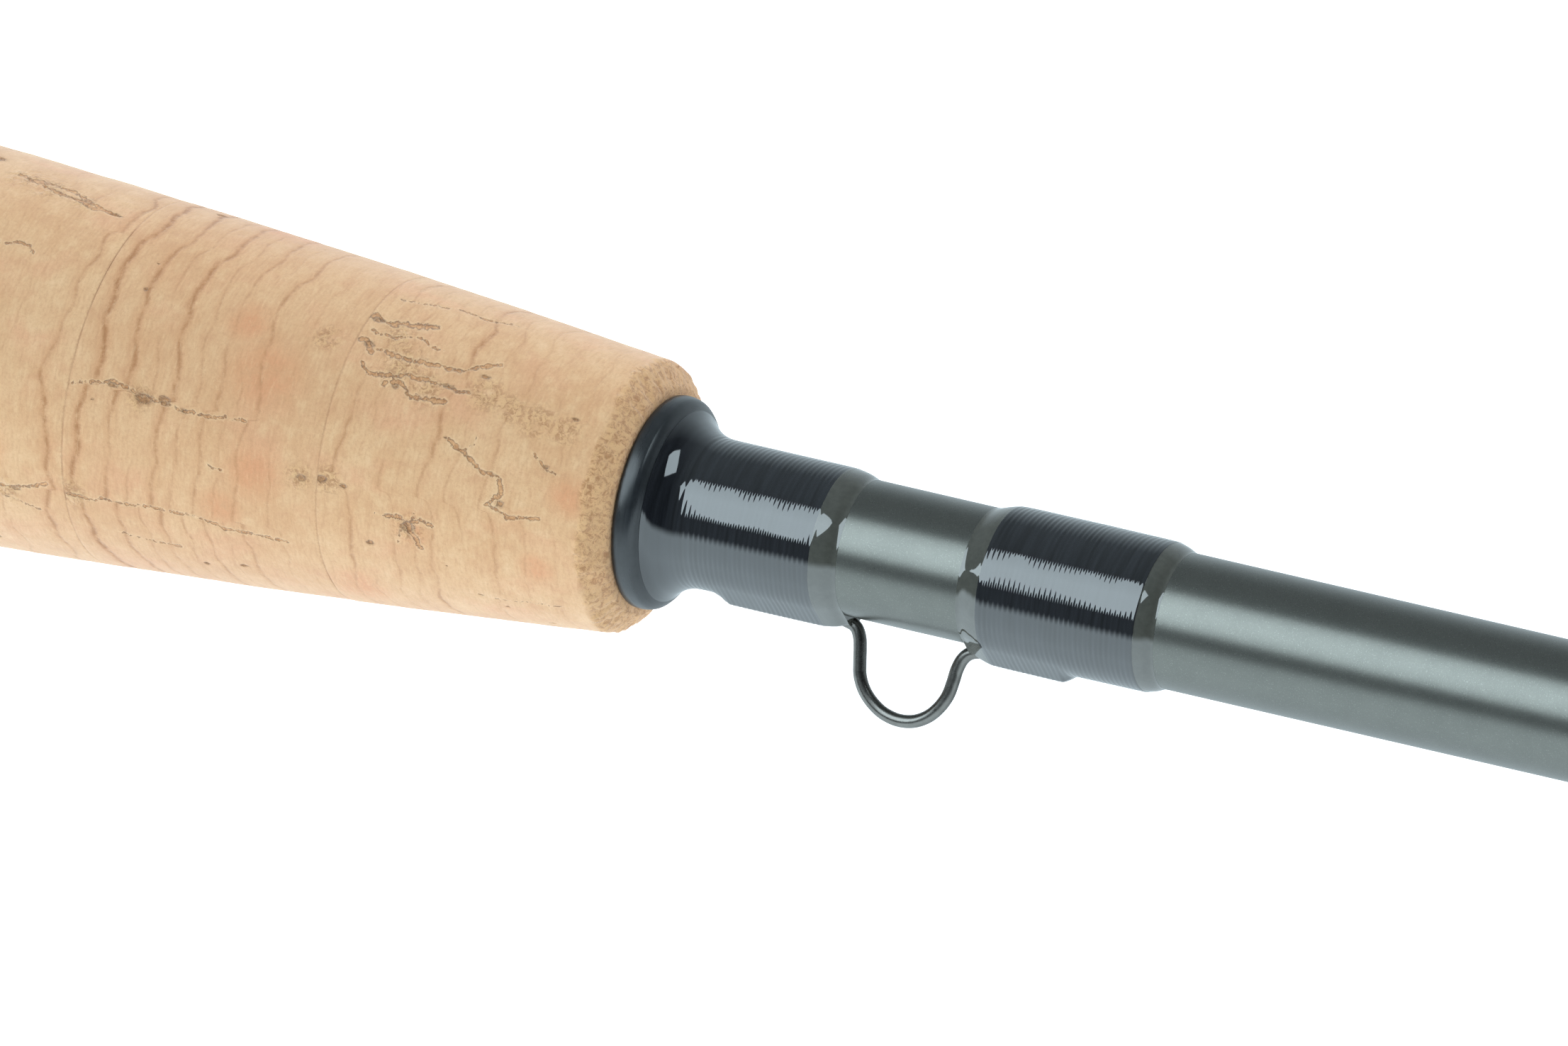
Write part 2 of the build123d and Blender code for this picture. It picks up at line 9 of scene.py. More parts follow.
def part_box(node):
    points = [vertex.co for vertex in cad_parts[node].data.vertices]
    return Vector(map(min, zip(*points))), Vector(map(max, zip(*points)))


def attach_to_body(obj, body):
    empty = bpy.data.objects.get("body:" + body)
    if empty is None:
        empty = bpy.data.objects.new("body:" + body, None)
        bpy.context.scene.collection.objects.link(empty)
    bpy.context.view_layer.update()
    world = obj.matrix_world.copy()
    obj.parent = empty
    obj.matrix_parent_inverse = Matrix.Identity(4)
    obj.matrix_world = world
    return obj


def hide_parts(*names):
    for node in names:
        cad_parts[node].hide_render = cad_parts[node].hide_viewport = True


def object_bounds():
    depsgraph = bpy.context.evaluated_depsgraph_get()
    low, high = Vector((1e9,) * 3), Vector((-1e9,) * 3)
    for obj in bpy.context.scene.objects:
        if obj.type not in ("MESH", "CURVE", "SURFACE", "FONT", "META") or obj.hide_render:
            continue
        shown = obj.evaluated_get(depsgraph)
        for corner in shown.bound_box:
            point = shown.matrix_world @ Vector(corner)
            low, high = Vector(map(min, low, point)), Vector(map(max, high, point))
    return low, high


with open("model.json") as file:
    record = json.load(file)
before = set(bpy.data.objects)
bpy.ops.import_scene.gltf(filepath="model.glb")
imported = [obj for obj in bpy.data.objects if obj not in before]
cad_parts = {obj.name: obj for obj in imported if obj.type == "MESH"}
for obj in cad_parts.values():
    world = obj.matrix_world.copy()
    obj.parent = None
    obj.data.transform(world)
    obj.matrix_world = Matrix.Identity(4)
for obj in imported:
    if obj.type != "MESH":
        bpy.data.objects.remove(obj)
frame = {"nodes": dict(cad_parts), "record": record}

cad_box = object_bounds()
MM = 0.001
TURN = 2 * math.pi


def low(node):
    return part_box(node)[0]


def high(node):
    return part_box(node)[1]


# Stations along the rod, in metres, read from the frame
CHECK_FACE = low("winding_check").x
KEEPER_STATION = CHECK_FACE + 6.4 * MM
BLANK_START = low("blank_butt_section").x
BLANK_BUTT_RADIUS = high("blank_butt_section").z
BUTT_TAPER = 0.0023

# ---- camera

TIP_TOWARDS_CAMERA = math.radians(22.42)
SLOPE_IN_FRAME = math.radians(12.97)
ROLL_OF_KEEPER = math.radians(12.0)
CAMERA_DISTANCE = 548.6 * MM
CAMERA_LIFT = 0.308 * MM
SENSOR_WIDTH = 36.0
LENS = 276.0
NEAREST_SEEN = 0.05
FARTHEST_SEEN = 200.0


def make_camera():
    """Set the camera by the rod's own axes as the camera sees them: x right, y down, z away."""
    tip, slope = TIP_TOWARDS_CAMERA, SLOPE_IN_FRAME
    along = Vector((math.cos(tip) * math.cos(slope), math.cos(tip) * math.sin(slope), -math.sin(tip)))
    across = Vector((-math.sin(slope), math.cos(slope), 0.0))
    nearer = across.cross(along)
    keeper = math.cos(ROLL_OF_KEEPER) * across - math.sin(ROLL_OF_KEEPER) * nearer
    row_y = -keeper
    row_z = along.cross(row_y)
    seen = Matrix((along, row_y, row_z))
    right, down, away = (seen @ Vector(axis) for axis in ((1, 0, 0), (0, 1, 0), (0, 0, 1)))
    target = Vector((KEEPER_STATION, 0.0, 0.0))
    data = bpy.data.cameras.new("camera")
    data.sensor_width = SENSOR_WIDTH
    data.lens = LENS
    data.clip_start = NEAREST_SEEN
    data.clip_end = FARTHEST_SEEN
    camera = bpy.data.objects.new("camera", data)
    bpy.context.collection.objects.link(camera)
    rotation = Matrix((right, -down, -away)).transposed()
    place = target - down * CAMERA_LIFT - away * CAMERA_DISTANCE
    camera.matrix_world = Matrix.Translation(place) @ rotation.to_4x4()
    bpy.context.scene.camera = camera


make_camera()
bpy.context.scene.view_settings.view_transform = "Standard"

# ---- shader helpers


class Value:
    """One of a shader's numbers. Each sum or product with it adds a Math node."""

    def __init__(self, nodes, socket):
        self.nodes = nodes
        self.socket = socket

    def __add__(self, other):
        return self.nodes.math("ADD", self, other)

    def __sub__(self, other):
        return self.nodes.math("SUBTRACT", self, other)

    def __rsub__(self, other):
        return self.nodes.math("SUBTRACT", other, self)

    def __mul__(self, other):
        return self.nodes.math("MULTIPLY", self, other)


class Nodes:
    """Short calls for building a shader's nodes."""

    def __init__(self, tree):
        self.tree = tree

    def make(self, kind, inputs=(), **settings):
        node = self.tree.nodes.new(kind)
        for key, value in settings.items():
            setattr(node, key, value)
        for key, value in dict(inputs).items():
            self.feed(node.inputs[key], value)
        return node

    def feed(self, socket, value):
        """Link a value, a socket or a node's first output to a socket, or set a plain value on it."""
        if isinstance(value, Value):
            value = value.socket
        if isinstance(value, bpy.types.Node):
            value = value.outputs[0]
        if isinstance(value, bpy.types.NodeSocket):
            self.tree.links.new(value, socket)
        elif socket.type == "RGBA" and len(value) == 3:
            socket.default_value = (*value, 1.0)
        else:
            socket.default_value = value

    def connect(self, shader, **links):
        for key, value in links.items():
            self.feed(shader.inputs[key.replace("_", " ")], value)

    def math(self, operation, a, b=0.0):
        return Value(self, self.make("ShaderNodeMath", {0: a, 1: b}, operation=operation).outputs[0])

    def scale(self, value, start, end, first, last, kind="LINEAR"):
        """A ramp from first where value is start to last where it is end, level beyond them."""
        ends = {"From Min": start, "From Max": end, "To Min": first, "To Max": last}
        node = self.make("ShaderNodeMapRange", {"Value": value, **ends}, interpolation_type=kind)
        return Value(self, node.outputs["Result"])

    def step(self, value, start, end):
        """A smooth ramp from 0 at start to 1 at end."""
        return self.scale(value, start, end, 0.0, 1.0, "SMOOTHSTEP")

    def mix(self, factor, a, b, blend="MIX"):
        settings = {"data_type": "RGBA", "blend_type": blend, "clamp_factor": True}
        return self.make("ShaderNodeMix", {0: factor, 6: a, 7: b}, **settings).outputs[2]

    def layers(self, body, *coats):
        """A colour with coats of other colours over it, each (how much of it shows, colour)."""
        for cover, colour in coats:
            body = self.mix(cover, body, colour)
        return body

    def attribute(self, name):
        return Value(self, self.make("ShaderNodeAttribute", attribute_name=name).outputs["Fac"])

    def place(self, along=1.0, across=1.0):
        """Object coordinates in millimetres, times the given factors along the rod and across it."""
        where = self.make("ShaderNodeTexCoord").outputs["Object"]
        scale = (along / MM, across / MM, across / MM)
        return self.make("ShaderNodeMapping", {"Vector": where, "Scale": scale}).outputs[0]

    def noise(self, where, size, detail=2.0, roughness=0.5, distortion=0.0):
        """Noise from 0 to 1 whose features are about size long, in the coordinates' own unit."""
        return Value(self, self.make("ShaderNodeTexNoise", {
            "Vector": where, "Scale": 1.0 / size, "Detail": detail,
            "Roughness": roughness, "Distortion": distortion,
        }).outputs["Fac"])

    def swing(self, where, size, detail, roughness, depth, offset=0.0):
        """Noise about offset, up to half of depth to either side."""
        return self.noise(where, size, detail, roughness) * depth + (offset - depth / 2)

    def bump(self, height, strength, distance):
        """A surface normal tilted by a height, which is distance millimetres deep."""
        inputs = {"Height": height, "Strength": strength, "Distance": distance * MM}
        return self.make("ShaderNodeBump", inputs)


def srgb(red, green, blue):
    """A colour given as 11 to 255 screen values, as the linear colour that shaders take."""
    return tuple(((c / 255 + 0.055) / 1.055) ** 2.4 for c in (red, green, blue))


def material(name, **sockets):
    """A new material with its Principled shader's plain sockets set."""
    made = bpy.data.materials.new(name)
    made.use_nodes = True
    n, shader = Nodes(made.node_tree), made.node_tree.nodes["Principled BSDF"]
    n.connect(shader, **sockets)
    return made, n, shader


def mottled(name, dark, light, wide, fine, gloss, relief, stretch=(1, 1), fleck=None, **sockets):
    """A finish that drifts between two colours, with a fine grain in its gloss and its surface.

    wide is the size of the colour's patches in millimetres. fine is the grain's size, detail and
    roughness, and stretch how many times finer it is along the rod and across it. gloss is the
    grain's ramp of roughness, relief the bump's strength and depth, and fleck a ramp of the grain
    and the colour it brings.
    """
    made, n, shader = material(name, **sockets)
    grain = n.noise(n.place(*stretch), *fine)
    body = n.mix(n.step(n.noise(n.place(), wide, 3.0, 0.6), 0.3, 0.7), dark, light)
    if fleck:
        ramp, colour = fleck
        body = n.mix(n.scale(grain, *ramp), body, colour)
    n.connect(shader, Base_Color=body, Roughness=n.scale(grain, *gloss), Normal=n.bump(grain, *relief))
    return made


# ---- light

STUDIO_TINT = (0.84, 1.0, 1.08)
# Ramps of brightness: start and end in degrees, then the level at each
ROOM_ROUND = (0.0, 70.0, 0.17, 0.305)
ROOM_ALONG = (2.0, 36.0, 1.0, 0.2)
NEAR_TABLE = (-75.0, -155.0, 1.95, 0.65)
FAR_TABLE = (112.0, 150.0, 0.0, 0.62)
SOFTBOX = (30.0, 57.0, 4.5, 3.69)
NEAR_TABLE_EDGE = (-23.0, -37.0)
# Lit panels, as (tilt, turn) in degrees: the middle, the way to two corners, and the softness of the edge
SOFTBOX_PANEL = ((-22.0, 27.0), (37.0, 12.0), (-3.0, 30.5), 0.02)
SMALL_PANEL = ((39.0, 73.0), (8.0, 14.0), (-8.0, 22.0), 0.06)
SMALL_LIGHT = 4.0


def make_world():
    """A studio seen by the rod's own axes: a softbox overhead, a pale table round the near side and below.

    tilt is a direction's angle off the plane across the rod, towards the tip. turn is its angle
    round the rod from straight up, towards +Y. Both are in degrees.
    """
    world = bpy.data.worlds.new("studio")
    bpy.context.scene.world = world
    world.use_nodes = True
    n = Nodes(world.node_tree)
    direction = n.make("ShaderNodeTexCoord").outputs["Generated"]
    x, y, z = n.make("ShaderNodeSeparateXYZ", {"Vector": direction}).outputs
    degrees = 360 / TURN
    tilt = n.math("ARCSINE", x) * degrees
    turn = n.math("ARCTAN2", y, z) * degrees

    def panel(middle, side, top, edge):
        """1 inside a parallelogram of directions, given its middle and the way to two of its corners."""
        u, v = tilt - middle[0], turn - middle[1]
        area = side[0] * top[1] - side[1] * top[0]
        a = u * (top[1] / area) + v * (-top[0] / area)
        b = v * (side[0] / area) + u * (-side[1] / area)
        return n.step(n.math("ABSOLUTE", a) + n.math("ABSOLUTE", b), 1 + edge, 1 - edge)

    room = n.scale(turn, *ROOM_ROUND) * n.scale(tilt, *ROOM_ALONG)
    near_table = n.step(turn, *NEAR_TABLE_EDGE) * n.scale(turn, *NEAR_TABLE)
    softbox = panel(*SOFTBOX_PANEL) * n.scale(turn, *SOFTBOX)
    level = room + n.scale(turn, *FAR_TABLE) + near_table + softbox + panel(*SMALL_PANEL) * SMALL_LIGHT
    seen = n.make("ShaderNodeLightPath").outputs["Is Camera Ray"]
    colour = n.make("ShaderNodeVectorMath", {0: STUDIO_TINT}, operation="SCALE")
    n.connect(colour, Scale=level)
    n.connect(world.node_tree.nodes["Background"], Color=n.mix(seen, colour.outputs[0], (1.0, 1.0, 1.0)))


make_world()

FLOOR_HALF = 60.0
FLOOR_GLOW = 0.7
FLOOR_GAP = 0.02 * MM


def make_floor():
    """A wide pale light table under the rod. Mirror-like surfaces see the studio itself through it."""
    height = cad_box[0].z - FLOOR_GAP
    square = [(-1, -1), (1, -1), (1, 1), (-1, 1)]
    mesh = bpy.data.meshes.new("floor")
    mesh.from_pydata([(x * FLOOR_HALF, y * FLOOR_HALF, height) for x, y in square], [], [(0, 1, 2, 3)])
    floor = bpy.data.objects.new("floor", mesh)
    bpy.context.collection.objects.link(floor)
    made, n, shader = material(
        "table_white", Base_Color=(0.8, 0.8, 0.8), Roughness=0.9,
        Emission_Color=(1.0, 1.0, 1.0), Emission_Strength=FLOOR_GLOW,
    )
    clear = n.make("ShaderNodeBsdfTransparent")
    glossy = n.make("ShaderNodeLightPath").outputs["Is Glossy Ray"]
    mixed = n.make("ShaderNodeMixShader", {0: glossy, 1: shader, 2: clear})
    n.connect(made.node_tree.nodes["Material Output"], Surface=mixed)
    mesh.materials.append(made)


make_floor()

# ---- mesh helpers


def add_object(name, points, faces, sharp):
    """A smooth-shaded mesh object, with edges over the given angle kept sharp."""
    mesh = bpy.data.meshes.new(name)
    mesh.from_pydata(points.tolist(), [], faces)
    mesh.polygons.foreach_set("use_smooth", [True] * len(mesh.polygons))
    mesh.set_sharp_from_angle(angle=math.radians(sharp))
    made = bpy.data.objects.new(name, mesh)
    bpy.context.collection.objects.link(made)
    return made


def merged(name, parts, sharp=40.0):
    """One object from several (points, faces) parts."""
    points, faces, first = [], [], 0
    for part_points, part_faces in parts:
        points.append(part_points.reshape(-1, 3))
        faces += [[corner + first for corner in face] for face in part_faces]
        first += len(points[-1])
    return add_object(name, np.concatenate(points), faces, sharp)


def set_attribute(piece, name, values):
    made = piece.data.attributes.new(name, "FLOAT", "POINT")
    made.data.foreach_set("value", np.ravel(values).astype(np.float32))


def grid_faces(rows, columns, close_rows=True):
    """Quads over a grid of points that closes on itself round its columns."""
    r, c = np.meshgrid(np.arange(rows if close_rows else rows - 1), np.arange(columns), indexing="ij")
    next_r = (r + 1) % rows
    next_c = (c + 1) % columns
    corners = [r * columns + c, r * columns + next_c, next_r * columns + next_c, next_r * columns + c]
    return np.stack(corners, -1).reshape(-1, 4).tolist()


def angles(segments):
    return np.arange(segments) * TURN / segments


def turned_grid(stations, segments):
    """The station and the turning angle of each point of a turned surface."""
    return np.meshgrid(stations, angles(segments), indexing="ij")


def lathe_part(profile, segments, push=None, centre=0.0):
    """Points and faces of a closed turned part, about the line along X at y = centre.

    Its profile of (x, radius) runs round its section and closes on itself. push adds to the
    radius of the profile's first points.
    """
    profile = np.asarray(profile, float)
    turn = angles(segments)
    radius = np.repeat(profile[:, 1:2], segments, 1)
    if push is not None:
        radius[:len(push)] += push
    x = np.repeat(profile[:, 0:1], segments, 1)
    points = np.stack([x, centre + radius * np.cos(turn), radius * np.sin(turn)], -1)
    return points.reshape(-1, 3), grid_faces(len(profile), segments)


def lathe(node, profile, segments, push=None, sharp=40.0):
    """A turned piece to stand for a CAD node."""
    return add_object(f"visual_{node}", *lathe_part(profile, segments, push), sharp)


bodies = frame["record"]["behaviour"]["bodies"]


def attach(piece, node, finish):
    """Let a detailed piece stand for one CAD node, on that node's body."""
    piece.data.materials.append(finish)
    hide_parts(node)
    body = next(name for name, nodes in bodies.items() if node in nodes)
    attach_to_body(piece, body)


def smooth(value, start, end):
    t = np.clip((value - start) / (end - start), 0.0, 1.0)
    return t * t * (3 - 2 * t)


def lattice(x, turn, size, radius, rng):
    """Smooth noise from -1 to 1 over a turned surface, with features about size metres long."""
    columns = max(3, round(TURN * radius / size))
    first = x.min()
    rows = int((x.max() - first) / size) + 3
    table = rng.uniform(-1, 1, (rows, columns))
    u = (x - first) / size
    v = turn / TURN * columns
    i, j = np.floor(u).astype(int), np.floor(v).astype(int)
    a, b = smooth(u - i, 0, 1), smooth(v - j, 0, 1)
    j0, j1 = j % columns, (j + 1) % columns
    near = table[i, j0] * (1 - b) + table[i, j1] * b
    far = table[i + 1, j0] * (1 - b) + table[i + 1, j1] * b
    return near * (1 - a) + far * a


def curve_through(points, count):
    """Evenly spread points on a smooth curve through the given ones, by Catmull-Rom spans."""
    points = np.asarray(points, float)
    padded = np.concatenate([2 * points[:1] - points[1:2], points, 2 * points[-1:] - points[-2:-1]])
    spans = []
    t = np.linspace(0, 1, 24, endpoint=False)[:, None]
    for a, b, c, d in zip(padded, padded[1:], padded[2:], padded[3:]):
        square, cube = 2 * a - 5 * b + 4 * c - d, 3 * b - a - 3 * c + d
        spans.append(0.5 * (2 * b + (c - a) * t + square * t ** 2 + cube * t ** 3))
    return evenly_along(np.concatenate([*spans, points[-1:]]), count)


def distance_along(points):
    return np.concatenate([[0], np.cumsum(np.linalg.norm(np.diff(points, axis=0), axis=1))])


def evenly_along(points, count):
    """The given number of evenly spread points along a line through close points."""
    length = distance_along(points)
    even = np.linspace(0, length[-1], count)
    return np.stack([np.interp(even, length, points[:, k]) for k in range(points.shape[1])], 1)


def blank_radius(x):
    """Outer radius of the butt section at a station."""
    return BLANK_BUTT_RADIUS - BUTT_TAPER * (x - BLANK_START)


# ---- cork

GRIP_FRONT_RADIUS = 6.3 * MM
GRIP_FLARE = 6.6 * MM
GRIP_FLARE_LENGTH = 60.0 * MM
CORK_GLUE_GAP = 0.04 * MM
CORK_SHADE = (0.82, 0.726, 0.65)
REAR_START = low("rear_grip_cork_01").x
REAR_END = high("rear_grip_cork_10").x
REAR_MAX_RADIUS = high("rear_grip_cork_01").z
REAR_MIN_RADIUS = high("rear_trim_ring").z - 0.2 * MM


def foregrip_radius(x):
    return GRIP_FRONT_RADIUS + GRIP_FLARE * (1 - np.exp(-(CHECK_FACE - x) / GRIP_FLARE_LENGTH))


def rear_grip_radius(x):
    along = (x - REAR_START) / (REAR_END - REAR_START)
    return REAR_MIN_RADIUS + (REAR_MAX_RADIUS - REAR_MIN_RADIUS) * (1 - along) ** 2


def cork_growth(n, where, strength, ragged):
    """How much of the late wood, of a line's soft halo and of the line itself shows at a point."""
    growth = n.attribute("growth")
    late = n.math("POWER", n.math("FRACT", growth), 4.0) * strength
    offset = n.math("ABSOLUTE", growth - n.math("ROUND", growth))
    distance = offset * n.attribute("spacing") + ragged
    broken = n.step(n.noise(where, 0.55, 4.0, 0.65), 0.36, 0.60) * 0.8 + 0.2
    line = (1.0 - n.step(distance, 0.0, strength * 0.2 + 0.06)) * strength * broken
    halo = (1.0 - n.step(distance, 0.0, 0.62)) * strength
    return late, halo, line


def cork_holes(n, where, grain):
    """The cork's pits and cracks, each as how deep inside it a point is, a band round its edge and its
    colour. Round a pit the band is darker; round a crack it is a lighter painted highlight on the flat beside
    it.
    """
    pit = n.attribute("pit") + n.swing(where, 0.16, 4.0, 0.7, 1.5)
    hole = n.step(pit, 0.10, 0.45)
    hole_rim = n.step(pit, -0.3, 0.1) * (1.0 - hole)
    hole_colour = n.mix(n.step(grain, 0.35, 0.62), srgb(128, 92, 64), srgb(190, 142, 100))
    ragged, uneven = n.swing(where, 0.14, 4.0, 0.75, 2.4), n.swing(where, 0.8, 2.0, 0.5, 1.7, -0.1)
    crack = n.attribute("crack") + ragged + uneven
    split = n.step(crack, -0.05, 0.25)
    # Painted highlight: a lighter band on the flat just beside each crack, standing in for its lit edge
    crack_edge_highlight = n.step(crack, -0.8, -0.3) * (1.0 - split)
    inner = n.mix(n.step(grain, 0.35, 0.6), srgb(180, 128, 86), srgb(220, 176, 132))
    split_colour = n.mix(n.step(crack, 0.12, 0.5), srgb(158, 106, 66), inner)
    return (hole, hole_rim, hole_colour), (split, crack_edge_highlight, split_colour)


def make_cork_material():
    """Sanded natural cork: tan body, brown growth lines, dark pits, cracks, reddish stains and fine grain."""
    made, n, shader = material(
        "cork", Roughness=0.8, Specular_IOR_Level=0.2, Sheen_Weight=0.28, Sheen_Roughness=0.5
    )
    where = n.place()
    blotches = n.noise(where, 3.4, 3.0, 0.6, 0.5)
    warmth = n.noise(n.place(0.6), 2.2, 2.0, 0.5, 0.3)
    patches = n.noise(where, 0.9, 4.0, 0.6, 0.2)
    grain = n.noise(where, 0.13, 3.0, 0.7)
    streaks = n.noise(n.place(7.0, 1.5), 1.0, 3.0, 0.6, 0.3)
    specks = n.noise(where, 0.05, 2.0, 0.6)
    flakes = n.noise(where, 0.26, 4.0, 0.75, 0.8)
    ragged = n.swing(where, 0.13, 4.0, 0.7, 0.16)

    strength = n.math("POWER", n.attribute("line_strength"), 0.85)
    late, halo, line = cork_growth(n, where, strength, ragged)
    (hole, rim, hole_colour), (split, crack_edge_highlight, split_colour) = cork_holes(n, where, grain)
    gritty = n.attribute("grit") * n.step(n.noise(where, 0.7, 3.0, 0.6), 0.36, 0.5)
    # Painted shade: the darker colour falls where the grit's bumps sit low, in its hollows
    grit_colour_with_shade = n.mix(n.step(flakes, 0.40, 0.56), srgb(176, 130, 92), srgb(228, 190, 146))
    crumble = n.attribute("crumble")
    # Painted shade: the darker colour falls where the crumbs sit low, in the chamfer's hollows. The dark
    # brown bits laid over it next are the cork's own colour.
    crumb_colour_with_shade = n.mix(n.step(flakes, 0.36, 0.56), srgb(182, 134, 92), srgb(232, 192, 146))
    crumb_colour_with_shade = n.mix(n.step(grain, 0.62, 0.75), crumb_colour_with_shade, srgb(150, 116, 80))
    glue = 1.0 - n.step(n.attribute("joint") + ragged, 0.02, 0.08)

    body = n.layers(
        n.mix(n.step(blotches, 0.33, 0.68), srgb(232, 196, 157), srgb(224, 184, 144)),
        # Broad tone: warm and light patches, the ring's own tone and reddish stains
        (n.scale(warmth, 0.52, 0.75, 0.0, 0.75), srgb(232, 182, 148)),
        (n.scale(patches, 0.5, 0.75, 0.0, 0.75), srgb(240, 210, 172)),
        (n.scale(patches, 0.25, 0.46, 0.55, 0.0), srgb(212, 166, 130)),
        (n.attribute("tone") * 0.35, srgb(216, 172, 134)),
        (n.attribute("stain") * n.scale(patches, 0.3, 0.6, 0.15, 0.6), srgb(222, 152, 112)),
        # Growth lines
        (late * 0.5, srgb(205, 156, 116)),
        (halo * n.scale(patches, 0.3, 0.7, 0.1, 0.6), srgb(214, 162, 120)),
        (line * 0.8, srgb(168, 116, 74)),
        # Fine grain
        (n.scale(streaks, 0.28, 0.5, 0.3, 0.0), srgb(196, 150, 112)),
        (n.scale(streaks, 0.55, 0.8, 0.0, 0.35), srgb(244, 216, 180)),
        (n.scale(grain, 0.3, 0.55, 0.25, 0.0), srgb(190, 144, 106)),
        (n.step(specks, 0.66, 0.74) * 0.4, srgb(160, 116, 84)),
        # Faults, with a painted highlight beside the cracks and painted shade in the hollows of the grit and
        # the crumbled chamfer
        # Gritty patches, with their painted shade in the hollows
        (gritty * 0.75, grit_colour_with_shade),
        (hole * 0.8, hole_colour),
        (rim * 0.3, srgb(176, 134, 98)),
        # Painted highlight beside the cracks
        (crack_edge_highlight * 0.28, srgb(244, 216, 180)),
        (split * 0.8, split_colour),
        # Crumbled chamfer, with its painted shade in the hollows
        (crumble * 0.8, crumb_colour_with_shade),
        (glue * 0.22, srgb(160, 112, 82)),
    )
    fine = grain * 0.5 + specks * 0.25 + streaks * 0.35
    height = fine - line * 0.7 - hole * 1.6 - split * 1.6 + (crumble + gritty) * (flakes * 2.0)
    colour = n.mix(1.0, body, CORK_SHADE, "MULTIPLY")
    n.connect(shader, Base_Color=colour, Normal=n.bump(height, 0.75, 0.045))
    return made


CORK = make_cork_material()
# How a growth line wanders round a ring, and how its strength changes: (waves in a turn, largest size)
RIPPLES = ((3, 0.2), (5, 0.16), (8, 0.13), (13, 0.11), (23, 0.06), (37, 0.035), (51, 0.02), (77, 0.015))
FADES = ((1, 0.22), (2, 0.22), (3, 0.22), (5, 0.22), (9, 0.22))
LINE_GAPS = (1.2, 1.7, 2.1, 3.0)
LINE_STRENGTHS = (0.12, 0.25, 0.45, 0.8)
LINES_BEYOND = 2.5 * MM
END_LINE_GAP = 4.0 * MM


def waves(angle, sizes, rng):
    """A wavy curve that closes on itself, its waves of random height and start."""
    return sum(rng.uniform(-size, size) * np.cos(k * angle + rng.uniform(0, TURN)) for k, size in sizes)


def growth_lines(x, turn, start, end, rng, placed, faults):
    """Growth coordinate, its local spacing and each line's strength over a ring's surface.

    placed gives known lines as (distance behind the winding check, strength), in millimetres.
    faults gives the angles where the lines break and step sideways, each with its step.
    """
    angle = turn[0]
    if placed:
        lines = sorted((CHECK_FACE - distance * MM, strength) for distance, strength in placed)
    else:
        lines = [(start - LINES_BEYOND, 0.0)]
        while lines[-1][0] < end + LINES_BEYOND:
            gap = rng.choice(LINE_GAPS) * rng.uniform(0.85, 1.15) * MM
            lines.append((lines[-1][0] + gap, rng.choice(LINE_STRENGTHS)))
    lines = [(lines[0][0] - END_LINE_GAP, 0.0), *lines, (lines[-1][0] + END_LINE_GAP, 0.0)]
    shared = waves(angle, RIPPLES, rng) * MM
    for around, step in faults:
        shared = shared + step * MM * ((angle - from_top(around)) % TURN / TURN - 0.5)
    places, strengths = [], []
    for place, base in lines:
        places.append(place + shared + waves(angle, RIPPLES, rng) * 0.5 * MM)
        strengths.append(np.clip(base + waves(angle, FADES, rng) * min(1.0, base * 2), 0.02, 1.0))
    places, strengths = np.sort(places, 0), np.array(strengths)
    growth, spacing, strength = (np.empty_like(x) for _ in range(3))
    index = np.arange(len(lines))
    for column in range(x.shape[1]):
        growth[:, column] = np.interp(x[:, column], places[:, column], index)
        before = np.clip(np.floor(growth[:, column]).astype(int), 0, len(lines) - 2)
        spacing[:, column] = (places[before + 1, column] - places[before, column]) / MM
        strength[:, column] = strengths[np.round(growth[:, column]).astype(int), column]
    return growth, spacing, strength


def from_top(degrees):
    """The turning angle of a direction given in degrees round from +Z towards +Y."""
    return math.radians(90 - degrees)


def away_from(around, turn):
    """Angle from one direction round the rod to each point's, from -pi to pi."""
    return (turn - around + math.pi) % TURN - math.pi


SMALLEST_PIT, LARGEST_PIT = 0.08, 0.26
PITS_PER_MM = 1.3


def pits(x, turn, radius, start, end, rng, blobs):
    """How far inside a pit each point is: over 0 in one, 1 at its middle."""
    marks = []
    for _ in range(int((end - start) / MM * PITS_PER_MM)):
        half_length = rng.uniform(SMALLEST_PIT, LARGEST_PIT) * MM
        marks.append((
            rng.uniform(start, end), rng.uniform(0, TURN), half_length, half_length * rng.uniform(0.35, 0.9)
        ))
    for distance, around, half_length, half_width in blobs:
        marks.append((CHECK_FACE - distance * MM, from_top(around), half_length * MM, half_width * MM))
    field = np.full_like(x, -1.0)
    for at, around, half_length, half_width in marks:
        distance = np.hypot((x - at) / half_length, away_from(around, turn) * radius / half_width)
        field = np.maximum(field, 1.0 - distance)
    return np.clip(field, -1.0, 1.0)


CRACK_STEP = 0.12 * MM
CRACK_WANDER = 0.035 * MM
CRACK_REACH = 1.5 * MM
SHORTEST_CRACK = 0.05 * MM


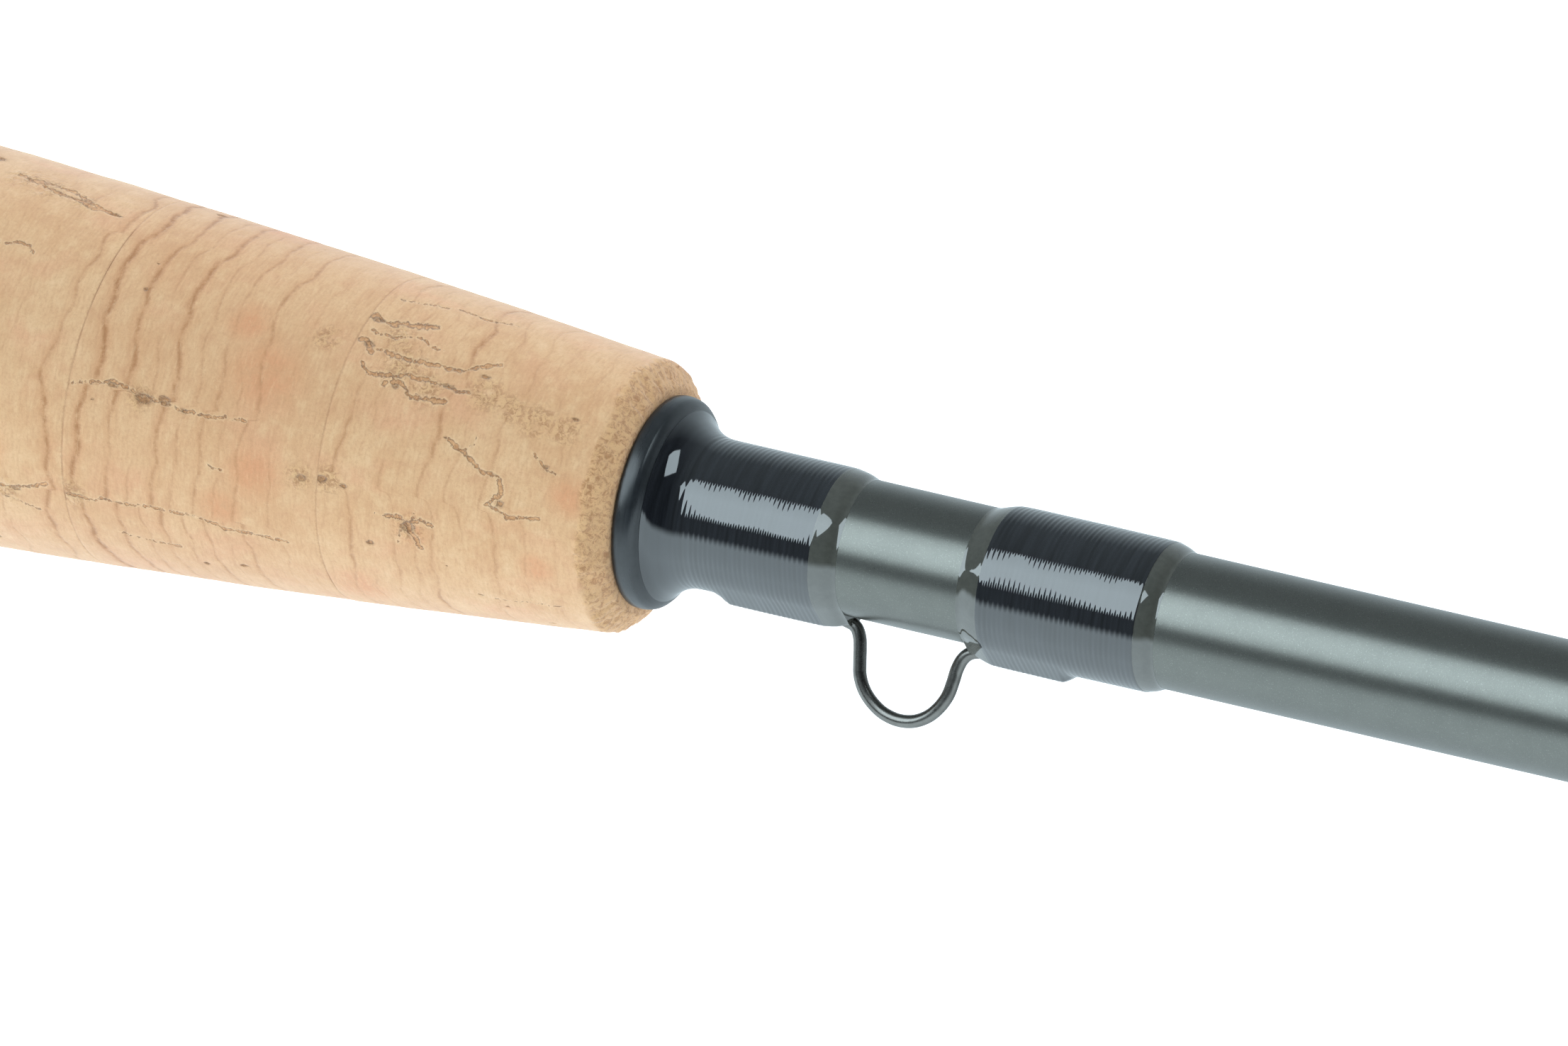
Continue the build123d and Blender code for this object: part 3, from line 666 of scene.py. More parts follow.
def cracks(x, turn, radius, rng, paths):
    """How close each point is to a set of wandering cracks: 1 on one, 0 at its half width, down to -1.

    Each path is (half width in millimetres, [(distance behind the winding check, degrees round), ...]).
    """
    field = np.full_like(x, -1.0)
    for half_width, corners in paths:
        corners = np.array([(CHECK_FACE - d * MM, from_top(a) * radius) for d, a in corners])
        if len(corners) == 1:
            corners = np.repeat(corners, 2, 0) + [[0, 0], [SHORTEST_CRACK, 0]]
        count = max(3, int(distance_along(corners)[-1] / CRACK_STEP))
        line = evenly_along(corners, count)
        drift = np.cumsum(rng.normal(0, CRACK_WANDER, (count, 2)), 0)
        line += drift - np.linspace(0, 1, count)[:, None] * drift[-1]
        widths = half_width * MM * rng.uniform(0.6, 1.6, count)
        middle, reach = line.mean(0), np.ptp(line, axis=0) / 2 + CRACK_REACH
        near = np.abs(x - middle[0]) < reach[0]
        near &= np.abs(away_from(middle[1] / radius, turn)) * radius < reach[1]
        near_x, near_turn = x[near], turn[near]
        best = np.full_like(near_x, -1.0)
        for (along, arc), width in zip(line, widths):
            distance = np.hypot(near_x - along, away_from(arc / radius, near_turn) * radius)
            best = np.maximum(best, 1.0 - distance / width)
        field[near] = np.maximum(field[near], best)
    return np.clip(field, -1.0, 1.0)


def spread(x, turn, radius, patches):
    """0 to 1 over soft round patches, each (distance behind the check, degrees round, size)."""
    field = np.zeros_like(x)
    for distance, around, size in patches:
        away = np.hypot(x - (CHECK_FACE - distance * MM), away_from(from_top(around), turn) * radius)
        field = np.maximum(field, 1 - smooth(away, 0.2 * size * MM, 1.15 * size * MM))
    return field


def random_marks(start, end, rng):
    """Cracks, pits, gritty patches, stains and a fault for a ring with none listed."""
    def distance():
        return (CHECK_FACE - rng.uniform(start, end)) / MM

    def around():
        return rng.uniform(-180, 180)

    def patches(fewest, most, smallest, largest):
        count = rng.integers(fewest, most + 1)
        return [(distance(), around(), rng.uniform(smallest, largest)) for _ in range(count)]

    paths, blobs = [], []
    for _ in range(rng.integers(2, 5)):
        corners = [(distance(), around())]
        for _ in range(rng.integers(2, 6)):
            corners.append((corners[-1][0] - rng.uniform(0.6, 1.8), corners[-1][1] + rng.uniform(-5, 5)))
        paths.append((rng.uniform(0.06, 0.14), corners))
        if rng.uniform() < 0.6:
            blobs.append((*corners[1], rng.uniform(0.3, 0.7), rng.uniform(0.15, 0.4)))
    return {
        "lines": None, "cracks": paths, "pits": blobs, "grit": patches(2, 4, 0.6, 1.7),
        "stains": patches(1, 3, 1.0, 3.0), "faults": [(rng.uniform(0, 360), 0.5)],
    }


CORK_BEVEL = 0.025 * MM
FRONT_CHAMFER = 1.0 * MM
FRONT_EDGE_RADIUS = 5.3 * MM
CRUMBLE_LENGTH = 1.05 * MM
VISIBLE_CELL = 0.09 * MM
HIDDEN_CELL = 0.28 * MM


def cork_outline(stations, radius_at, front):
    """A ring's outer radius at its stations, and each one's distance from the nearest glue joint."""
    start, end = stations[0], stations[-1]
    joint = stations - start if front else np.minimum(stations - start, end - stations)
    outer = radius_at(stations) - CORK_BEVEL * (1 - np.clip(joint / CORK_BEVEL, 0, 1)) * 0.8
    if front:
        inside = np.clip((stations - (end - FRONT_CHAMFER)) / FRONT_CHAMFER, 0, 1)
        full = foregrip_radius(end - FRONT_CHAMFER)
        outer = np.where(inside > 0, full - (full - FRONT_EDGE_RADIUS) * inside ** 1.35, outer)
    return outer, joint


def cork_ring(node, radius_at, seed, cell=HIDDEN_CELL, known=None, front=False):
    """One cork ring with real growth grooves, pits, cracks and, on the front ring, a crumbled chamfer."""
    rng = np.random.default_rng(seed)
    start, end = low(node).x, high(node).x
    marks = {**random_marks(start, end, rng), **(known or {})}
    rows = max(12, round((end - start) / cell))
    radius = radius_at((start + end) / 2)
    segments = int(round(TURN * radius / cell / 4) * 4)
    stations = np.linspace(start, end, rows)
    outer, joint = cork_outline(stations, radius_at, front)
    x, around = turned_grid(stations, segments)
    growth, spacing, strength = growth_lines(x, around, start, end, rng, marks["lines"], marks["faults"])
    pit = pits(x, around, radius, start, end, rng, marks["pits"])
    crack = cracks(x, around, radius, rng, marks["cracks"])
    grit = spread(x, around, radius, marks["grit"])

    def rough(size, depth):
        return lattice(x, around, size * MM, radius, rng) * depth * MM

    crumble = np.zeros_like(x)
    if front:
        crumble = smooth(x - (end - CRUMBLE_LENGTH + rough(1.1, 0.25)), -0.12 * MM, 0.15 * MM)
    from_line = np.abs(growth - np.round(growth)) * spacing
    push = rough(2.4, 0.02) + rough(0.5, 0.007)
    push -= 0.016 * MM * strength * np.exp(-(from_line / 0.11) ** 2)
    push -= 0.06 * MM * smooth(pit, -0.1, 0.8)
    push -= smooth(crack, -0.2, 0.9) * (0.024 * MM + rough(0.25, 0.032))
    push += grit * rough(0.22, 0.03)
    push += crumble * rough(0.42, 0.10) + crumble * rough(0.18, 0.05)
    bore = [(at, blank_radius(at) + CORK_GLUE_GAP) for at in (end, start)]
    piece = lathe(node, [*zip(stations, outer), *bore], segments, push, sharp=50.0)
    fields = {
        "growth": growth, "spacing": spacing, "line_strength": strength, "pit": pit, "crack": crack,
        "grit": grit, "crumble": crumble, "joint": np.repeat(joint[:, None] / MM, segments, 1),
        "tone": np.full_like(x, rng.uniform(0, 1)), "stain": spread(x, around, radius, marks["stains"]),
    }
    for name, values in fields.items():
        set_attribute(piece, name, np.pad(values, ((0, len(bore)), (0, 0)), "edge"))
    attach(piece, node, CORK)


# Marks on the three rings nearest the winding check: millimetres behind it, and degrees round from +Z to +Y
FRONT_RING = {
    "lines": [
        (2.2, 0.15), (3.7, 0.12), (5.2, 0.3), (6.8, 0.16), (8.2, 0.42), (9.2, 0.14), (10.1, 0.22),
        (11.3, 0.14), (12.35, 0.38), (13.5, 0.12), (14.4, 0.12),
    ],
    "faults": [(36, 0.5), (-7, -0.4), (-100, 0.4)],
    "cracks": [
        (0.07, [(12.9, 69), (11.6, 72), (10.4, 74), (9.0, 75), (7.4, 76)]),
        (0.13, [(14.6, 54), (13.4, 57), (12.8, 55), (10.5, 60)]),
        (0.11, [(13.6, 45), (13.2, 45), (12.7, 41)]),
        (0.10, [(12.5, 43), (9.9, 43), (8.2, 44), (6.8, 51)]),
        (0.09, [(12.9, 37), (12.5, 33), (10.8, 35), (7.5, 36)]),
        (0.10, [(11.6, 31), (11.0, 33), (10.3, 29), (8.5, 30)]),
        (0.06, [(13.2, 50), (12.1, 49), (11.0, 52), (9.6, 50)]),
        (0.10, [(7.8, 17), (6.9, 13), (6.1, 8), (5.2, 7), (4.9, 0), (5.5, -4), (4.6, -8), (2.9, -6)]),
        (0.05, [(6.9, 13), (6.7, 17), (6.5, 20)]),
        (0.10, [(10.7, -16), (9.9, -17), (9.2, -19), (8.4, -15), (8.0, -17)]),
        (0.12, [(9.3, -18), (9.0, -22), (8.6, -27)]),
        (0.07, [(9.5, -20), (9.7, -26)]),
        (0.06, [(9.2, -18), (8.8, -12)]),
        (0.05, [(3.8, 20), (2.9, 14), (2.3, 13)]),
        (0.05, [(6.2, -48), (4.0, -50), (2.1, -49)]),
        (0.07, [(11.0, 140), (9.6, 138), (8.0, 141), (6.1, 137)]),
        (0.08, [(10.2, -120), (8.4, -118), (6.5, -123)]),
    ],
    "pits": [
        (13.5, -7, 0.32, 0.2), (12.4, -8, 0.2, 0.12), (9.2, -19, 0.42, 0.3), (13.2, 55, 0.35, 0.15),
        (13.0, 44, 0.3, 0.2), (11.0, 31, 0.2, 0.15), (4.8, -3, 0.22, 0.2), (7.2, 44, 0.3, 0.12),
        (8.6, 36, 0.4, 0.14), (5.0, 160, 0.3, 0.2),
    ],
    "grit": [
        (11.0, 40, 1.5), (9.6, 33, 1.2), (6.8, 37, 1.2), (5.4, 34, 1.1), (4.0, 32, 1.2), (2.6, 31, 1.0),
        (9.1, -20, 1.0), (12.0, 52, 1.0), (13.2, -7, 0.9), (9.5, 130, 1.6), (4.0, -130, 1.3),
    ],
    "stains": [
        (9.1, -19, 1.0), (8.8, -22, 0.9), (3.0, -28, 1.1), (1.6, 5, 1.3), (6.0, 110, 2.0), (12.2, -55, 1.8),
    ],
}
SECOND_RING = {
    "lines": [
        (13.0, 0.1), (14.4, 0.1), (15.6, 0.16), (17.3, 0.34), (18.3, 0.12), (19.2, 0.42), (20.3, 0.2),
        (21.4, 0.5), (22.5, 0.24), (23.65, 0.55), (25.3, 1.0), (27.2, 0.6),
    ],
    "faults": [(8, 0.45), (-30, -0.55), (150, 0.5)],
    "cracks": [
        (0.07, [(26.3, 7), (25.5, 8), (24.2, 10), (23.1, 8), (21.7, 7), (20.7, 6), (19.3, 6), (17.5, 7)]),
        (0.07, [(26.3, -30), (24.5, -30), (22.8, -31), (21.5, -31), (20.0, -32), (18.5, -33), (15.2, -35)]),
        (0.05, [(19.2, -9), (18.4, -11)]),
        (0.06, [(24.0, -44), (22.4, -46), (21.0, -46)]),
        (0.08, [(24.6, 120), (22.0, 123), (19.0, 118), (16.0, 121)]),
        (0.08, [(25.0, -110), (22.6, -113), (19.8, -108)]),
    ],
    "pits": [
        (22.6, 7, 0.55, 0.3), (21.6, 8, 0.35, 0.22), (24.2, 9, 0.3, 0.12), (20.6, 6, 0.2, 0.12),
        (14.5, -8, 0.3, 0.2), (18.0, -52, 0.25, 0.12), (24.3, 122, 0.5, 0.3), (19.0, -140, 0.4, 0.25),
    ],
    "grit": [
        (22.8, 7, 0.9), (14.6, -8, 0.9), (26.0, -30, 1.0), (15.0, 42, 0.9), (18.5, 122, 1.5),
        (22.0, -112, 1.3),
    ],
    "stains": [
        (17.2, 24, 2.3), (16.9, -10, 1.8), (18.8, 40, 1.4), (18.5, -25, 1.3), (20.5, 95, 2.0),
        (16.0, -120, 2.4),
    ],
}
THIRD_RING = {
    "lines": [
        (25.4, 0.1), (27.25, 0.55), (29.6, 0.12), (31.5, 0.16), (33.6, 0.1), (35.8, 0.2), (37.6, 0.12),
        (39.8, 0.1),
    ],
    "faults": [(-30, 0.3), (60, 0.4)],
    "cracks": [
        (0.11, [(33.4, 75), (31.3, 71), (29.3, 69), (27.6, 68)]),
        (0.12, [(33.4, 75), (31.5, 74), (29.6, 71), (27.6, 68)]),
        (0.07, [(32.0, 45), (30.6, 46), (30.1, 43)]),
        (0.08, [(30.6, -31), (29.0, -32), (27.3, -28)]),
        (0.06, [(29.5, -36), (27.9, -39)]),
        (0.08, [(36.0, 20), (34.0, 22), (32.8, 20)]),
        (0.08, [(36.0, 150), (33.0, 147), (30.0, 152)]),
        (0.09, [(37.0, -90), (34.0, -93), (31.5, -88)]),
    ],
    "pits": [(27.8, 68, 0.4, 0.12), (35.2, 82, 0.5, 0.3), (28.9, -32, 0.3, 0.12), (31.0, -60, 0.25, 0.15)],
    "grit": [(31.5, 72, 1.2), (29.6, 70, 0.9), (33.0, 74, 1.2), (29.5, -33, 1.0), (34.0, -92, 1.5)],
    "stains": [(33.0, 20, 2.2), (30.5, -18, 1.5), (34.5, -100, 2.2)],
}

for number in range(1, 11):
    cork_ring(f"rear_grip_cork_{number:02d}", rear_grip_radius, 100 + number)
for number in range(1, 4):
    cork_ring(f"foregrip_cork_{number}", foregrip_radius, 200 + number)
cork_ring("foregrip_cork_4", foregrip_radius, 204, VISIBLE_CELL, THIRD_RING)
cork_ring("foregrip_cork_5", foregrip_radius, 205, VISIBLE_CELL, SECOND_RING)
cork_ring("foregrip_cork_6", foregrip_radius, 206, VISIBLE_CELL, FRONT_RING, front=True)

# ---- blank

BUTT_END_RADIUS = blank_radius(high("blank_butt_section").x)
TIP_SECTION_START, TIP_SECTION_END = low("blank_tip_section").x, high("blank_tip_section").x
TIP_SECTION_RADIUS = high("blank_tip_section").z
TIP_END_RADIUS = 0.75 * MM
BUTT_WALL, FERRULE_WALL, TIP_WALL = 0.9 * MM, 0.55 * MM, 0.35 * MM
BLANK_LIP = 0.08 * MM


def make_blank_material():
    """Satin grey-green paint with a fine metallic grain."""
    made, n, shader = material("blank_coat", Roughness=0.29, IOR=1.8, Metallic=0.8)
    where = n.place()
    grain = n.noise(where, 0.07, 2.0, 0.6)
    mottle = n.noise(where, 1.4, 3.0, 0.6)
    flake = n.noise(where, 0.05, 1.0, 0.5)
    body = n.mix(n.step(mottle, 0.3, 0.7), (0.106, 0.108, 0.098), (0.114, 0.116, 0.105))
    body = n.mix(n.step(flake, 0.62, 0.72), body, (0.165, 0.168, 0.152))
    roughness = n.scale(grain, 0.3, 0.7, 0.27, 0.32)
    n.connect(shader, Base_Color=body, Roughness=roughness, Normal=n.bump(grain, 0.22, 0.006))
    return made


BLANK = make_blank_material()


def blank_section(node, radii, walls, segments):
    """A hollow tapered tube, its radii and walls given at its start and its end."""
    start, end = low(node).x, high(node).x
    along = np.linspace(0, 1, 60)
    x = start + (end - start) * along
    outer = radii[0] + (radii[1] - radii[0]) * along
    inner = outer - (walls[0] + (walls[1] - walls[0]) * along)
    profile = np.concatenate([
        np.stack([x, outer], 1)[1:-1],
        [[end - BLANK_LIP, radii[1]], [end, radii[1] - BLANK_LIP]],
        np.stack([x, inner], 1)[::-1],
        [[start, radii[0] - BLANK_LIP], [start + BLANK_LIP, radii[0]]],
    ])
    attach(lathe(node, profile, segments), node, BLANK)


blank_section("blank_butt_section", (BLANK_BUTT_RADIUS, BUTT_END_RADIUS), (BUTT_WALL, FERRULE_WALL), 160)
blank_section("blank_tip_section", (TIP_SECTION_RADIUS, TIP_END_RADIUS), (FERRULE_WALL, TIP_WALL), 96)


def section_radius(x):
    """Outer radius of whichever blank section reaches a station."""
    if x < TIP_SECTION_START:
        return blank_radius(x)
    along = (x - TIP_SECTION_START) / (TIP_SECTION_END - TIP_SECTION_START)
    return TIP_SECTION_RADIUS + (TIP_END_RADIUS - TIP_SECTION_RADIUS) * along


# ---- winding check

CHECK_BORE = blank_radius(CHECK_FACE) + 0.04 * MM
# Its outline, in millimetres from the check's face: a rolled rim, then a shoulder that falls to the nose
CHECK_OUTLINE = [
    (0.0, 4.62), (0.02, 4.86), (0.12, 4.975), (0.3, 5.0), (0.5, 4.99), (0.7, 4.95), (0.86, 4.88),
    (1.03, 4.70), (1.2, 4.44), (1.45, 4.14), (1.7, 3.84), (2.0, 3.65), (2.2, 3.58),
]


CHECK_BLACK = mottled(
    "check_black", (0.010, 0.012, 0.014), (0.016, 0.018, 0.021), wide=0.8, fine=(1.0, 2.0, 0.5),
    gloss=(0.3, 0.7, 0.26, 0.36), relief=(0.12, 0.004), stretch=(9.0, 0.5), Roughness=0.3, IOR=1.5,
)


def make_check():
    """Satin black anodised check, turned from its outline."""
    rim = curve_through(CHECK_OUTLINE, 90) * MM
    rim[:, 0] += CHECK_FACE
    bore = [[high("winding_check").x, CHECK_BORE], [CHECK_FACE, CHECK_BORE]]
    piece = lathe("winding_check", [*rim, *bore], 256, sharp=60.0)
    attach(piece, "winding_check", CHECK_BLACK)


make_check()

# ---- keeper wraps under gloss finish

THREAD_DARK, THREAD_LIGHT = (0.004, 0.0045, 0.006), (0.011, 0.012, 0.015)
FILM, FILM_SHADE, DUST = (0.058, 0.057, 0.048), 0.82, (0.10, 0.10, 0.10)
THREAD_PITCH = 0.25 * MM
THREAD_WANDER_SIZE = 1.2 * MM
WRAP_RADIUS = 3.5 * MM
WRAP_NOISE_RADIUS = 3.4 * MM
WRAP_SEGMENTS = 288
WRAP_ROW = 0.03
FOOT_RISE = 0.40 * MM
FOOT_HALF_ANGLE = math.radians(8)
# The ripple is full from here on; nearer the check the gloss fills it
RIPPLE_STARTS = (KEEPER_STATION - 4.3 * MM, KEEPER_STATION - 3.5 * MM)


def make_gloss_material(name):
    """Clear gloss over thread: nearly black on the thread, olive-grey where it runs on to the blank."""
    made, n, shader = material(name, Roughness=0.045, IOR=1.75)
    where = n.place()
    stripes = n.noise(n.place(4.3, 0.26), 1.0, 2.0, 0.5)
    fuzz = n.noise(where, 0.35, 4.0, 0.6)
    thread = n.mix(n.scale(stripes, 0.35, 0.65, 0.0, 1.0), THREAD_DARK, THREAD_LIGHT)
    film = n.mix(n.step(fuzz, 0.3, 0.7), FILM, tuple(c * FILM_SHADE for c in FILM))
    on_thread = n.step(n.attribute("cover") + (fuzz * 0.03 - 0.015), -0.012, 0.012)
    dust = n.step(n.noise(where, 0.09, 2.0, 0.5), 0.80, 0.84)
    body = n.layers(film, (on_thread, thread), (dust, DUST))
    ripple = n.noise(n.place(1.5, 0.5), 1.0, 2.0, 0.5)
    n.connect(shader, Base_Color=body, Normal=n.bump(ripple, 0.1, 0.006))
    return made


KEEPER_GLOSS = make_gloss_material("keeper_gloss")


def thread_ripple(x, turn, radius, rng):
    """The ridges of a thread wound round the rod, from -1 to 1, with the pitch wandering a little."""
    wander = lattice(x, turn, THREAD_WANDER_SIZE, radius, rng) * 0.12
    return np.sin(TURN * (x / THREAD_PITCH + wander + turn / TURN))


def foot_rise(x, turn, foot, ramps):
    """Extra radius over a keeper foot on the -Y side, with flats that leave the round tangentially."""
    lean = math.acos(WRAP_RADIUS / (WRAP_RADIUS + FOOT_RISE))
    reach = np.clip(FOOT_HALF_ANGLE + lean - np.abs(turn - math.pi), 0, lean)
    across = (1 / np.cos(reach) - 1) * WRAP_RADIUS
    first, last = (smooth(x, at - ramp, at + ramp) for at, ramp in zip(foot, ramps))
    return across * first * (1 - last)


def gloss_wrap(node, outline, inner, thread, foot, ramps, seed):
    """The gloss of one keeper wrap, with everything in millimetres from the keeper's station.

    outline and inner are (x, radius) points. thread, foot and ramps give where the thread and the
    foot under it start and end, and how gently the gloss rises over each of the foot's ends.
    """
    rng = np.random.default_rng(seed)
    count = int((outline[-1][0] - outline[0][0]) / WRAP_ROW)
    outer, inner = curve_through(outline, count) * MM, np.array(inner) * MM
    for line in (outer, inner):
        line[:, 0] += KEEPER_STATION
    x, around = turned_grid(outer[:, 0], WRAP_SEGMENTS)
    thread_start, thread_end, *feet = (KEEPER_STATION + at * MM for at in (*thread, *foot))
    inside = np.minimum(x - thread_start, thread_end - x)
    covered = smooth(inside, -0.15 * MM, 0.25 * MM)
    ripple = thread_ripple(x, around, WRAP_NOISE_RADIUS, rng) * smooth(x, *RIPPLE_STARTS)
    uneven = 0.85 + 0.4 * lattice(x, around, 0.9 * MM, WRAP_NOISE_RADIUS, rng)
    push = 0.006 * MM * covered * ripple * uneven
    push += 0.011 * MM * covered * lattice(x, around, 2.6 * MM, WRAP_NOISE_RADIUS, rng)
    push += foot_rise(x, around, feet, [ramp * MM for ramp in ramps])
    piece = lathe(node, np.concatenate([outer, inner]), WRAP_SEGMENTS, push, sharp=60.0)
    set_attribute(piece, "cover", np.pad(inside / MM, ((0, len(inner)), (0, 0))))
    attach(piece, node, KEEPER_GLOSS)


def on_blank(offset, height):
    """A profile point standing off the blank by a height, in millimetres from the keeper's station."""
    return offset, blank_radius(KEEPER_STATION + offset * MM) / MM + height


gloss_wrap(
    "keeper_finish_rear",
    outline=[
        (-5.2, 4.47), (-5.13, 4.385), (-5.0, 4.24), (-4.8, 4.06), (-4.5, 3.85), (-4.2, 3.69),
        (-3.85, 3.575), (-3.4, 3.51), (-2.0, 3.50), (0.5, 3.495), (2.6, 3.485), (3.05, 3.45), (3.5, 3.36),
        on_blank(3.9, 0.03), on_blank(4.1, 0.004),
    ],
    inner=[
        on_blank(4.1, -0.01), on_blank(-4.2, 0.01), (-4.2, 3.62), (-4.6, 3.88), (-5.0, 4.22), (-5.17, 4.42),
    ],
    thread=(-9.0, 2.85), foot=(-2.3, 9.0), ramps=(0.5, 0.5), seed=31,
)
gloss_wrap(
    "keeper_finish_front",
    outline=[
        on_blank(10.1, 0.004), on_blank(10.3, 0.03), (10.7, 3.33), (11.1, 3.44), (11.5, 3.485),
        (13.0, 3.495), (16.0, 3.49), (18.6, 3.475), (19.0, 3.43), (19.35, 3.33), on_blank(19.7, 0.03),
        on_blank(19.85, 0.004),
    ],
    inner=[on_blank(19.85, -0.01), on_blank(10.1, -0.01)],
    thread=(11.2, 18.95), foot=(8.0, 15.1), ramps=(0.5, 0.36), seed=32,
)

# ---- hook keeper

WIRE_RADIUS = 0.305
FOOT_HALF_WIDTH, FOOT_HALF_HEIGHT = 0.45, 0.17
# The wire's centre line: millimetres from the keeper's station, and from the rod's axis towards -Y
KEEPER_ROUTE = [
    (-2.5, 3.40), (0.5, 3.41), (3.1, 3.45), (3.85, 3.50), (4.25, 3.68), (4.48, 4.1), (4.58, 4.6),
    (4.66, 5.2), (4.78, 5.85), (5.1, 6.46), (5.6, 6.95), (6.2, 7.29), (6.95, 7.44), (7.7, 7.33),
    (8.35, 6.97), (8.83, 6.45), (9.17, 5.82), (9.33, 5.15), (9.44, 4.5), (9.66, 3.95), (10.05, 3.60),
    (10.7, 3.46), (11.8, 3.41), (15.0, 3.39),
]
WIRE = mottled(
    "keeper_wire", (0.125, 0.120, 0.112), (0.165, 0.160, 0.150), wide=0.6, fine=(0.15, 4.0, 0.7),
    gloss=(0.3, 0.8, 0.24, 0.36), relief=(0.12, 0.004), fleck=((0.5, 0.8, 0.0, 0.5), (0.08, 0.075, 0.07)),
    Roughness=0.27, Metallic=1.0,
)


def tube_mesh(centre, half_width, half_height, segments, flat=(0.0, 0.0, 1.0)):
    """Points and faces of a closed tube along a line, half_width along flat and half_height across it."""
    ahead = np.gradient(centre, axis=0)
    ahead /= np.linalg.norm(ahead, axis=1)[:, None]
    rise = np.cross(np.array(flat), ahead)
    rise /= np.linalg.norm(rise, axis=1)[:, None]
    side = np.cross(ahead, rise)
    turn = angles(segments)
    rings = (
        centre[:, None]
        + side[:, None] * (half_width[:, None] * np.cos(turn))[..., None]
        + rise[:, None] * (half_height[:, None] * np.sin(turn))[..., None]
    )
    points = np.concatenate([rings.reshape(-1, 3), centre[:1], centre[-1:]])
    faces = grid_faces(len(centre), segments, close_rows=False)
    first, last = len(points) - 2, len(points) - 1
    end = (len(centre) - 1) * segments
    for c in range(segments):
        faces.append((first, (c + 1) % segments, c))
        faces.append((last, end + c, end + (c + 1) % segments))
    return points, faces


def make_keeper():
    """Bent wire whose ends are flattened into feet under the two wraps."""
    offset, height = curve_through(KEEPER_ROUTE, 300).T
    centre = np.stack([KEEPER_STATION + offset * MM, -height * MM, np.zeros(len(offset))], 1)
    round_part = smooth(offset, 2.2, 4.0) * (1 - smooth(offset, 10.2, 11.8))
    half_width, half_height = (
        (flat + (WIRE_RADIUS - flat) * round_part) * MM for flat in (FOOT_HALF_WIDTH, FOOT_HALF_HEIGHT)
    )
    piece = merged("visual_hook_keeper", [tube_mesh(centre, half_width, half_height, 40)], 50.0)
    attach(piece, "hook_keeper", WIRE)


make_keeper()

# ---- finishes of the other parts


def grained(name, dark, light, roughness, metallic=0.0, size=0.4, depth=0.01, stretch=(1, 1), ior=1.5):
    """A mottled finish with grain of the given size in millimetres, and specks brighter than light."""
    bright = tuple(min(1.0, c * 1.5) for c in light)
    return mottled(
        name, dark, light, wide=size * 6, fine=(size, 3.0, 0.6), stretch=stretch,
        gloss=(0.3, 0.7, roughness - 0.04, roughness + 0.05), relief=(0.3, depth),
        fleck=((0.5, 0.8, 0.0, 0.35), bright), Roughness=roughness, Metallic=metallic, IOR=ior,
    )


def make_butt_material():
    """Rubberised cork: black rubber with tan cork crumbs."""
    made, n, shader = material("butt_rubber_cork", Roughness=0.75, Specular_IOR_Level=0.3)
    where = n.place()
    cells = n.make("ShaderNodeTexVoronoi", {"Vector": where, "Scale": 0.75, "Randomness": 1.0}, feature="F1")
    pick = n.make("ShaderNodeSeparateColor", {"Color": cells.outputs["Color"]}).outputs[0]
    distance = n.swing(where, 0.3, 3.0, 0.6, 0.5) + cells.outputs["Distance"]
    crumb = n.step(distance, 0.5, 0.42) * n.step(pick, 0.42, 0.46)
    grain = n.noise(where, 0.15, 3.0, 0.6)
    tan = n.mix(n.step(grain, 0.35, 0.65), srgb(150, 104, 70), srgb(196, 150, 108))
    rubber = n.mix(n.step(grain, 0.35, 0.65), (0.013, 0.012, 0.011), (0.028, 0.025, 0.022))
    n.connect(shader, Base_Color=n.mix(crumb, rubber, tan), Normal=n.bump(crumb * -0.6 + grain, 0.5, 0.04))
    return made


GUNMETAL = grained("gunmetal", (0.16, 0.165, 0.17), (0.20, 0.205, 0.21), 0.3, 1.0, 0.12, 0.006, (0.4, 5))
TRIM = grained("trim_metal", (0.17, 0.175, 0.18), (0.22, 0.225, 0.23), 0.24, 1.0, 0.12, 0.006, (6, 0.5))
SEAT_PLASTIC = grained("seat_plastic", (0.016, 0.017, 0.018), (0.022, 0.024, 0.025), 0.42, 0.0, 0.18, 0.012)
NUT_PLASTIC = grained("nut_plastic", (0.014, 0.015, 0.016), (0.020, 0.021, 0.022), 0.38, 0.0, 0.15, 0.012)
FOAM = grained("arbor_foam", (0.42, 0.41, 0.38), (0.52, 0.50, 0.46), 0.85, 0.0, 0.3, 0.05)
SPIGOT = grained("spigot_carbon", (0.018, 0.019, 0.02), (0.03, 0.031, 0.033), 0.35, 0.0, 0.2, 0.01, (0.3, 3))
CERAMIC = grained("ceramic", (0.035, 0.037, 0.042), (0.05, 0.052, 0.058), 0.1, 0.0, 0.3, 0.003, ior=2.0)
GUIDE_METAL = grained("guide_metal", (0.17, 0.165, 0.16), (0.23, 0.225, 0.22), 0.22, 1.0, 0.2, 0.005)
THREAD = grained("wrap_thread", (0.006, 0.0065, 0.008), (0.012, 0.013, 0.015), 0.5, 0.0, 0.1, 0.02, (4, 0.4))
GUIDE_GLOSS = make_gloss_material("guide_gloss")

# CAD nodes whose own meshes are shown
for node, finish in (
    ("fixed_hood", GUNMETAL), ("sliding_hood", GUNMETAL), ("lock_nut", NUT_PLASTIC),
    ("seat_arbor_rear", FOAM), ("seat_arbor_front", FOAM), ("ferrule_spigot", SPIGOT),
    ("keeper_wrap_rear", THREAD), ("keeper_wrap_front", THREAD),
):
    mesh = frame["nodes"][node].data
    mesh.materials.clear()
    mesh.materials.append(finish)

# ---- butt cap, trim ring and reel seat

BORE_GAP = 0.05 * MM
